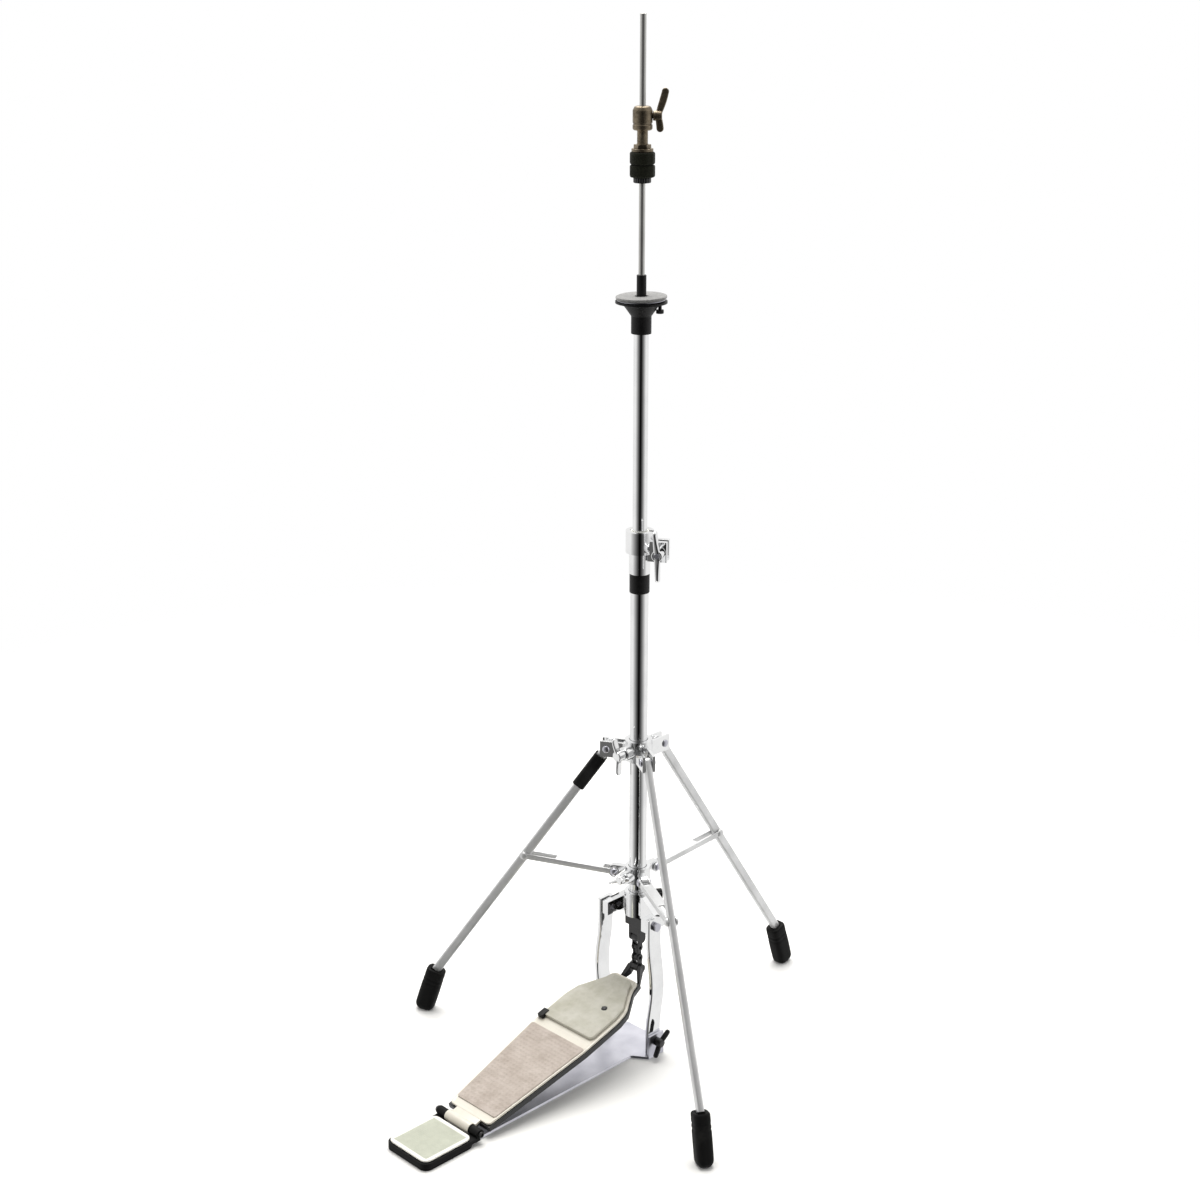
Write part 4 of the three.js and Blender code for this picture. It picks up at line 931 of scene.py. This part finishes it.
# ---- tubes and rod ------------------------------------------------------------------------------
class STAND_OT_tubes(bpy.types.Operator):
    """Two chromed tubes, the black ring under the clamp and the nylon sleeve between the tubes"""
    bl_idname = "stand.tubes"
    bl_label = "Tubes"

    def execute(self, context):
        sizes = context.scene.hat_tubes
        base, upper = sizes.base_radius / MM, sizes.upper_radius / MM
        wall, upper_wall = sizes.base_wall / MM, sizes.upper_wall / MM
        tube = hollow(base, base - wall, *span_z("base_tube"), 0.35, 96)
        add("base_tube_piece", tube, "base", "chrome", ["base_tube"])
        tube = hollow(upper, upper - upper_wall, *span_z("upper_tube"), 0.5, 96)
        add("upper_tube_piece", tube, "upper_stand", "chrome", ["upper_tube"])
        ring = hollow(base + 0.9, base + GAP, *span_z("tube_ring"), 0.25, 96)
        add("tube_ring_piece", ring, "base", "black_plastic", ["tube_ring"])
        low, high = span_z("tube_sleeve")
        lip = high - 1.5
        outline = [(upper + GAP, low), (base - wall - GAP, low), (base - wall - GAP, lip), (base, lip),
                   (base, high), (upper + GAP, high)]
        add("tube_sleeve_piece", lathe(rounded(outline, 0.2), 96), "base", "white_nylon", ["tube_sleeve"])
        return {"FINISHED"}


class STAND_OT_pull_rod(bpy.types.Operator):
    """Upper and lower pull rod with the spring's stop, and the return spring"""
    bl_idname = "stand.pull_rod"
    bl_label = "Pull rod and spring"

    def execute(self, context):
        radius = context.scene.hat_tubes.rod_radius / MM
        low, high = span_z("upper_pull_rod")
        rod = stud(radius, low, high, 0.9, 64)
        add("upper_pull_rod_piece", rod, "pull_rod", "ground_rod", ["upper_pull_rod"])
        low, high = span_z("lower_pull_rod")
        outer, bore, stop = 4.75, radius + GAP, 8.6
        corners = [(0.4, low), (outer, low), (outer, 262), (stop, 262), (stop, 268), (outer, 268),
                   (outer, high), (bore, high), (bore, 283.5), (0.4, 283.5)]
        lower = lathe(rounded(corners, 0.5), 64)
        core = stud(0.5, low + 0.2, 283.3, 0.1, 12)
        add("lower_pull_rod_piece", lower + core, "pull_rod", "steel", ["lower_pull_rod"])

        low, high = span_z("return_spring")
        wire, turns, steps, sides = 0.9, 9, 48, 14
        radius = 7.2
        t = np.linspace(0, 1, turns * steps + 1)[:, None]
        a = 2 * math.pi * turns * t
        eased = t - 0.045 * np.sin(2 * math.pi * t)  # coils closer together at both ends
        z = low + wire + (high - low - 2 * wire) * eased
        b = np.linspace(0, 2 * math.pi, sides, endpoint=False)[None, :]
        r = radius + wire * np.cos(b)
        spring = skin(np.stack([r * np.cos(a), r * np.sin(a), z + wire * np.sin(b)], -1))
        add("return_spring_piece", spring, "base", "steel", ["return_spring"])
        return {"FINISHED"}


# ---- height clamp -------------------------------------------------------------------------------
class STAND_OT_clamp(bpy.types.Operator):
    """Split height clamp with its bolt and big wing nut"""
    bl_idname = "stand.clamp"
    bl_label = "Height clamp"

    def execute(self, context):
        softened("height_clamp", "chrome", 0.9)
        reach, height, face = 24.0, 592.5, 8.3
        bolt = (hexagon(11.6, face, face + 3.5) + stud(3, -face - 1, face + 1)
                + threaded(3, -face - 16, -face))
        bolt = along_y(bolt).moved(reach, 0, height).turned("z", 30)
        add("clamp_bolt_piece", bolt, "base", "steel", ["clamp_bolt"])
        nut = wing((6, 15, 10.2, 28, 1, 4.5, 5.5), bore=3.3)
        nut = nut.turned("x", 94).turned("z", -90).moved(reach, -face, height).turned("z", 30)
        add("clamp_wing_nut_piece", nut, "clamp_nut", "chrome", ["clamp_wing_nut"])
        return {"FINISHED"}


# ---- tripod -------------------------------------------------------------------------------------
LEG_AZIMUTHS = {"left": 210, "right": 330, "back": 90}
BRACE_PIVOT = (26.0, 211.0)  # distance from the axis and height
BRACE_DOWN_LEG = 173


def pin_across(half_span, reach, height):
    """Pin along Y with a domed head at each end."""
    end = half_span + GAP
    head = dome_head(4.2, end, 1.8)
    pin = stud(2.4, -end - 0.5, end + 0.5) + head + head.turned("y", 180)
    return along_y(pin).moved(reach, 0, height)


class STAND_OT_collars(bpy.types.Operator):
    """Leg collar and brace collar with their pins and wing screws"""
    bl_idname = "stand.collars"
    bl_label = "Tripod collars"

    def execute(self, context):
        sizes = context.scene.hat_tripod
        hinge = sizes.hinge_reach / MM, sizes.hinge_z / MM
        leg_boss, brace_boss = 23.8, 21.8  # faces of the screws' bosses
        tube = 10 + GAP  # the screws stop short of the base tube
        softened("leg_collar", "chrome", 0.8)
        softened("brace_collar", "chrome", 0.7)
        bolt = wing((6, 11, 4, 21, 2, 4, 3.4), shank_radius=3.5, shank=leg_boss - tube)
        bolt = bolt.turned("x", 100).moved(leg_boss, 0, 362).turned("z", -90)
        add("leg_collar_wing_bolt_piece", bolt, "leg_collar_screw", "chrome", ["leg_collar_wing_bolt"])
        screw = wing((5, 9, 3, 17, 2, 3.4, 3), shank_radius=3.5, shank=brace_boss - tube)
        screw = screw.turned("x", 28).moved(brace_boss, 0, BRACE_PIVOT[1]).turned("z", -90)
        node = "brace_collar_wing_screw"
        add(f"{node}_piece", screw, "brace_collar_screw", "chrome", [node])
        for side, azimuth in LEG_AZIMUTHS.items():
            pin = pin_across(7.15, *hinge).turned("z", azimuth)
            add(f"leg_pin_{side}_piece", pin, "leg_slider", "steel", [f"leg_pin_{side}"])
            pin = pin_across(6.15, *BRACE_PIVOT).turned("z", azimuth)
            add(f"brace_pin_{side}_piece", pin, "leg_swivel", "steel", [f"brace_pin_{side}"])
        return {"FINISHED"}


def leg_shape(sizes, at_foot):
    """Flat bar with a round top end round its hinge and soft edges, hanging from the origin along -Z."""
    depth, thick = sizes.leg_depth / MM, sizes.leg_thick / MM
    end = at_foot + 13.7
    outline = slot_outline(-(end - depth / 2), 0, depth / 2, 16)
    bar = plate(outline, -thick / 2, thick / 2, 2.2)
    return standing(bar).turned("y", -90)


def foot_shape(leg_angle, at_foot, top_z, slant=18.0):
    """Rubber boot: rounded rectangles up an axis at its own slant, the size given by a profile with two
    grooves near the top and a dome at the bottom, then down inside as a socket for the leg. Points below
    the floor are lifted to it, which leaves a flat tread."""
    half_x, half_y = 11.5, 9.5
    length_ = top_z / math.cos(math.radians(slant)) + 2.5
    s = np.linspace(0, 1, 46)
    depth = -length_ * (1 - s)
    dome = np.sqrt(1 - np.clip(1 - s / 0.16, 0, 1) ** 2 * 0.86)
    lip = 1 - 0.10 * np.clip((s - 0.965) / 0.035, 0, 1) ** 2
    groove = 1 - 0.06 * np.exp(-(((s - 0.80) / 0.018) ** 2)) - 0.06 * np.exp(-(((s - 0.70) / 0.018) ** 2))
    size = dome * lip * groove * (0.965 + 0.035 * np.sin(math.pi * s))
    section = rectangle(half_x, half_y, 8, steps=9)
    outer = np.concatenate([section[None] * size[:, None, None],
                            np.broadcast_to(depth[:, None, None], (len(s), len(section), 1))], -1)
    outer = Shape(outer, np.zeros((0, 4))).turned("y", leg_angle - slant).points.reshape(outer.shape)
    socket = rectangle(5.65, 4.15, 2.3, steps=9)
    inner_z = np.array([4.5, 0.0, -13.5])[:, None, None]
    inner = np.concatenate([np.broadcast_to(socket[None], (3, *socket.shape)),
                            np.broadcast_to(inner_z, (3, len(socket), 1))], -1)
    inner[0, :, 2] = outer[-1, :, 2] - 0.4
    rings = np.concatenate([outer, inner])
    rings[..., 2] -= at_foot
    return skin(rings)


def brace_shape(span):
    """Two straps from the collar's pivot to the leg's, joined by a web, with a rivet head at the far end."""
    inner, sheet = 4.15, 2.0
    strap = plate(strap_outline(0, span, 5, 3.2), inner, inner + sheet, 0.5)
    strap = standing(strap.mirrored(1)).mirrored(1)
    rivet = along_y(dome_head(4.2, inner + sheet - 0.2, 1.8)).moved(span, 0, 0)
    side = strap + rivet
    web = plate(rectangle(28.5, inner + sheet - 0.1, 1.0, (41.5, 0)), 1.3, 3.15, 0.6)
    return side.both_sides(1) + web


class STAND_OT_legs(bpy.types.Operator):
    """Three legs with rubber feet, the left leg's black sleeve, and three braces"""
    bl_idname = "stand.legs"
    bl_label = "Legs and braces"

    def execute(self, context):
        sizes = context.scene.hat_tripod
        lean = math.degrees(sizes.leg_angle)
        reach, height = sizes.hinge_reach / MM, sizes.hinge_z / MM
        top_z = 53.0
        at_foot = (height - top_z) / math.cos(sizes.leg_angle)
        leg = leg_shape(sizes, at_foot)
        foot = foot_shape(lean, at_foot, top_z)
        sleeve_in = rectangle(5.55, 4.05, 1.6, steps=6)
        down = BRACE_DOWN_LEG * np.array([math.sin(sizes.leg_angle), -math.cos(sizes.leg_angle)])
        pivot = np.array(BRACE_PIVOT)
        run, rise = np.array([reach, height]) + down - pivot
        brace = brace_shape(math.hypot(run, rise)).turned("y", -math.degrees(math.atan2(rise, run)))
        for side, azimuth in LEG_AZIMUTHS.items():
            def place(shape):
                return shape.turned("y", -lean).moved(reach, 0, height).turned("z", azimuth)
            add(f"leg_{side}_piece", place(leg), f"leg_{side}", "leg_chrome", [f"leg_{side}"])
            boot = place(foot)
            boot.points[:, 2] = np.maximum(boot.points[:, 2], 0)
            add(f"foot_{side}_piece", boot, f"leg_{side}", "black_rubber", [f"foot_{side}"], 50)
            arm = brace.moved(pivot[0], 0, pivot[1]).turned("z", azimuth)
            add(f"brace_{side}_piece", arm, f"brace_{side}", "leg_chrome", [f"brace_{side}"])
            if side == "left":
                wall = edge_path(-60, -13, 0.7)
                path = np.vstack([[(0, -59.7)], np.stack([wall[:, 0] - 1.8, wall[:, 1]], -1), [(0, -13.3)]])
                flat = drawn_in(sleeve_in, path[:, 0])
                heights = np.broadcast_to(path[:, 1, None, None], flat.shape[:2] + (1,))
                sleeve = skin(np.concatenate([flat, heights], -1), closed=True)
                add("leg_sleeve_piece", place(sleeve), "leg_left", "black_plastic", ["leg_sleeve"])
        return {"FINISHED"}


# ---- cymbal seat --------------------------------------------------------------------------------
def felt_disc(outer, inner, low, high, crown, ripple):
    """Felt washer: the closed outline of a ring with soft shoulders, carried round the Z axis; its top and
    bottom swell by crown at the ring's middle, and its side wavers by ripple sin(5a + 3 sin 2a)."""
    corners = [(inner, low), (outer, low), (outer, high), (inner, high)]
    o = rounded(corners, min(2.2, (high - low) * 0.42), 8)
    cuts = np.linspace(0, 1, 7)[1:-1, None]
    split = len(o) // 4
    parts = []
    for k in range(4):
        end = (k + 1) * split
        parts += [o[k * split:end], o[end - 1] * (1 - cuts) + o[end % len(o)] * cuts]
    o = np.vstack(parts)
    a = np.linspace(0, 2 * math.pi, 120, endpoint=False)[None, :]
    share = np.clip((o[:, :1] - inner) / (outer - inner), 0, 1)
    swell = crown * np.sin(math.pi * share) * np.sign(o[:, 1:] - (low + high) / 2)
    r = o[:, :1] + ripple * share * np.sin(5 * a + 3 * np.sin(2 * a))
    z = o[:, 1:] + swell * (1 + 0.3 * np.sin(3 * a + 1))
    return skin(round_z(r, z, a), closed=True)


class STAND_OT_seat(bpy.types.Operator):
    """Cymbal seat: funnel base, sleeve, cup, felt and the knurled tilt screw"""
    bl_idname = "stand.seat"
    bl_label = "Cymbal seat"

    def execute(self, context):
        sizes = context.scene.hat_seat
        turn, tilt = math.degrees(sizes.azimuth), math.degrees(sizes.tilt)
        softened("seat_base", "black_plastic", 0.5)
        low, high = span_z("seat_sleeve")
        sleeve = hollow(5.0, 3.5, low, high, 0.6, 64)
        add("seat_sleeve_piece", sleeve, "upper_stand", "black_plastic", ["seat_sleeve"])
        flange = span_z("seat_base")[1]
        pivot = 22.0

        def tipped(shape):
            shape = shape.moved(pivot, 0, 0).turned("y", -tilt)
            return shape.moved(-pivot, 0, flange + GAP).turned("z", turn)
        outer, hole = sizes.felt_radius / MM, 6.8
        cup = hollow(outer - 1.5, hole, 0, 0.8, 0.3, 96)
        add("seat_cup_piece", tipped(cup), "seat", "steel", ["seat_cup"])
        pad = felt_disc(outer - 0.2, hole, 1.1, 4.4, 0.12, 0.2)
        pad = add("seat_felt_piece", tipped(pad), "seat", "grey_felt", ["seat_felt"], 60)
        bottom = span_z("seat_tilt_screw")[0]
        top = span_z("seat_tilt_screw")[1]
        screw = fluted(4, bottom, bottom + 4, 24, 0.25, 0.5) + threaded(2, bottom + 3, top, 0.8, 0.25)
        screw = screw.moved(19, 0, 0).turned("z", turn)
        add("seat_tilt_screw_piece", screw, "seat_screw", "black_metal", ["seat_tilt_screw"])
        return {"FINISHED"}


# ---- clutch -------------------------------------------------------------------------------------
class STAND_OT_clutch(bpy.types.Operator):
    """Clutch: turned head on a threaded stem, lock nut with washer, two felts, bottom nut and wing screw"""
    bl_idname = "stand.clutch"
    bl_label = "Clutch"

    def execute(self, context):
        turn = math.degrees(context.scene.hat_seat.azimuth)
        bore, stem_room = 3.5, 5.9
        low, high = span_z("clutch_body")
        shoulder = 1028.0
        stem = threaded(5.6, low, shoulder + 1, depth=0.3, sides=48, bore=bore)
        corners = [(bore, shoulder), (8.8, shoulder), (10, shoulder + 1.4), (10, shoulder + 5),
                   (9.3, shoulder + 5.8), (9.3, shoulder + 6.6), (10, shoulder + 7.4), (10, high - 4.2),
                   (8.4, high - 1), (7.2, high), (bore, high)]
        head = lathe(rounded(corners, 0.6), 96)
        add("clutch_body_piece", (stem + head).turned("z", turn), "clutch", "bronze", ["clutch_body"])

        low, high = span_z("clutch_bottom_nut")
        nut = fluted(9, low, high, 18, 0.5, 0.6, bore=stem_room)
        add("clutch_bottom_nut_piece", nut.turned("z", turn), "clutch", "black_metal", ["clutch_bottom_nut"])
        for level in ("lower", "upper"):
            low, high = span_z(f"clutch_felt_{level}")
            pad = felt_disc(12.7, stem_room, low + 0.15, high - 0.15, 0.15, 0.22)
            pad = pad.turned("z", 37 if level == "lower" else 0)
            node = f"clutch_felt_{level}"
            pad = add(f"{node}_piece", pad, "clutch", "dark_felt", [node], 60)
        low, high = span_z("clutch_lock_nut")
        nut = hexagon(15.4, low + 2.8, high, stem_room) + hollow(11, stem_room, low, low + 3, 0.6)
        add("clutch_lock_nut_piece", nut.turned("z", turn), "clutch", "bronze", ["clutch_lock_nut"])
        screw = wing((5, 9, 2.5, 27, 6, 3.6, 3), 3.0, 6.8, other=(5, 9, 2.5, 16, 1, 3.6, 3))
        screw = screw.turned("x", 80).moved(10.3, 0, 1042).turned("z", turn)
        add("clutch_wing_screw_piece", screw, "clutch_screw", "bronze", ["clutch_wing_screw"])
        return {"FINISHED"}


# ---- stage --------------------------------------------------------------------------------------
def studio_world(direction_degrees):
    """White surroundings that darken smoothly towards one side, where a tube shows its dark core: the
    brightness is 0.9 (1 - cos d) / 0.85, up to 0.9, at an angle d from it, and overhead it is bright all
    round. The backdrop itself is seen as plain white."""
    world = bpy.data.worlds.new("studio")
    bpy.context.scene.world = world
    world.use_nodes = True
    tree = world.node_tree
    tree.nodes.clear()

    def node(kind, **inputs):
        made = tree.nodes.new(kind)
        for key, value in inputs.items():
            socket = made.inputs[key]
            if isinstance(value, bpy.types.NodeSocket):
                tree.links.new(value, socket)
            else:
                socket.default_value = value
        return made

    parts = node("ShaderNodeSeparateXYZ", Vector=node("ShaderNodeTexCoord").outputs["Generated"])
    x, y, z = (Value(tree, s) for s in parts.outputs)
    a = math.radians(direction_degrees)
    flat = (x * x + y * y).most(0.0001) ** 0.5
    towards = x * math.cos(a) + y * math.sin(a)
    side = (1 - towards / flat).ramp(0.0, 0.85)
    above = z.ramp(0.25, 0.9)
    brightness = (side * 0.9 + above * 0.3).least(1.02)
    shade = node("ShaderNodeBackground")
    tree.links.new(brightness.socket, shade.inputs["Strength"])
    white = node("ShaderNodeBackground", Strength=1.0)
    white.inputs["Color"].default_value = (1, 1, 1, 1)
    shade.inputs["Color"].default_value = (1.0, 0.995, 0.985, 1)
    seen = node("ShaderNodeLightPath").outputs["Is Camera Ray"]
    mixed = node("ShaderNodeMixShader")
    tree.links.new(seen, mixed.inputs[0])
    tree.links.new(shade.outputs[0], mixed.inputs[1])
    tree.links.new(white.outputs[0], mixed.inputs[2])
    output = node("ShaderNodeOutputWorld")
    tree.links.new(mixed.outputs[0], output.inputs[0])


class STAND_OT_stage(bpy.types.Operator):
    """Pale floor, soft studio light and the camera"""
    bl_idname = "stand.stage"
    bl_label = "Stage"

    def execute(self, context):
        scene = context.scene
        look = scene.hat_studio
        camera_side = -45.9
        studio_world(camera_side)
        scene.view_settings.view_transform = "Standard"

        a = np.linspace(0, 2 * math.pi, 96, endpoint=False)
        k, m = 4, len(a)
        r = np.broadcast_to(np.array([0.01, 0.6, 1.2, 1.8])[:, None], (k, m))
        rings = round_z(r, -0.0004, a)  # just under the feet, in metres
        i, j = np.arange(k - 1)[:, None], np.arange(m)[None, :]
        quads = np.stack([i * m + j, (i + 1) * m + j, (i + 1) * m + (j + 1) % m, i * m + (j + 1) % m], -1)
        mesh = bpy.data.meshes.new("floor")
        mesh.from_pydata(rings.reshape(-1, 3).tolist(), [], quads.reshape(-1, 4).tolist() + [list(range(m))])
        floor = bpy.data.objects.new("floor", mesh)
        scene.collection.objects.link(floor)
        f = Finish("pale_floor", roughness=0.9, specular_ior_level=0.1)
        x, y, _ = f.axes()
        away = (x * x + y * y) ** 0.5
        warm = f.noise(1.6, 2.0)
        f.set(base_color=f.mix(warm.ramp(0.3, 0.7), (0.985, 0.985, 0.985), tuple(look.floor_colour)),
              alpha=1 - away.ramp(0.75, 1.7))
        floor.data.materials.append(f.material)
        floor.visible_glossy = False

        box = bpy.data.lights.new("softbox", "AREA")
        box.shape, box.size, box.energy = "DISK", 2.2, look.softbox_power
        box.color = (1.0, 0.985, 0.96)
        light = bpy.data.objects.new("softbox", box)
        light.location = (-0.7, 0.5, 2.6)
        light.rotation_euler = (math.radians(-12), math.radians(-15), 0)
        scene.collection.objects.link(light)

        lens = bpy.data.cameras.new("camera")
        lens.sensor_width, lens.lens = 36.0, 60.12
        camera = bpy.data.objects.new("camera", lens)
        side, distance, height = math.radians(44.1), 2.037, 1.226
        camera.location = (math.sin(side) * distance, -math.cos(side) * distance, height)
        camera.rotation_euler = (math.radians(90 - 18.75), 0, math.radians(45.29))
        scene.collection.objects.link(camera)
        scene.camera = camera
        return {"FINISHED"}


PIECES = (STAND_OT_stage, STAND_OT_sole, STAND_OT_heel, STAND_OT_footboard, STAND_OT_linkage, STAND_OT_frame,
          STAND_OT_tubes, STAND_OT_pull_rod, STAND_OT_clamp, STAND_OT_collars, STAND_OT_legs, STAND_OT_seat,
          STAND_OT_clutch)


class STAND_PT_sidebar(bpy.types.Panel):
    """Lists the stand's pieces and sizes"""
    bl_idname = "STAND_PT_sidebar"
    bl_label = "Hi-hat stand"
    bl_space_type = "VIEW_3D"
    bl_region_type = "UI"
    bl_category = "Hi-hat"

    def draw(self, context):
        layout = self.layout
        for name, group in GROUPS.items():
            box = layout.box()
            for field in group.__annotations__:
                box.prop(getattr(context.scene, name), field)
        for operator in PIECES:
            layout.operator(operator.bl_idname)


CLASSES = (*GROUPS.values(), *PIECES, STAND_PT_sidebar)


def register():
    for cls in CLASSES:
        bpy.utils.register_class(cls)
    for name, group in GROUPS.items():
        setattr(bpy.types.Scene, name, bpy.props.PointerProperty(type=group))


def unregister():
    for name in GROUPS:
        delattr(bpy.types.Scene, name)
    for cls in reversed(CLASSES):
        bpy.utils.unregister_class(cls)


def main():
    register()
    for operator in PIECES:
        family, name = operator.bl_idname.split(".")
        getattr(getattr(bpy.ops, family), name)()


if __name__ == "__main__":
    main()
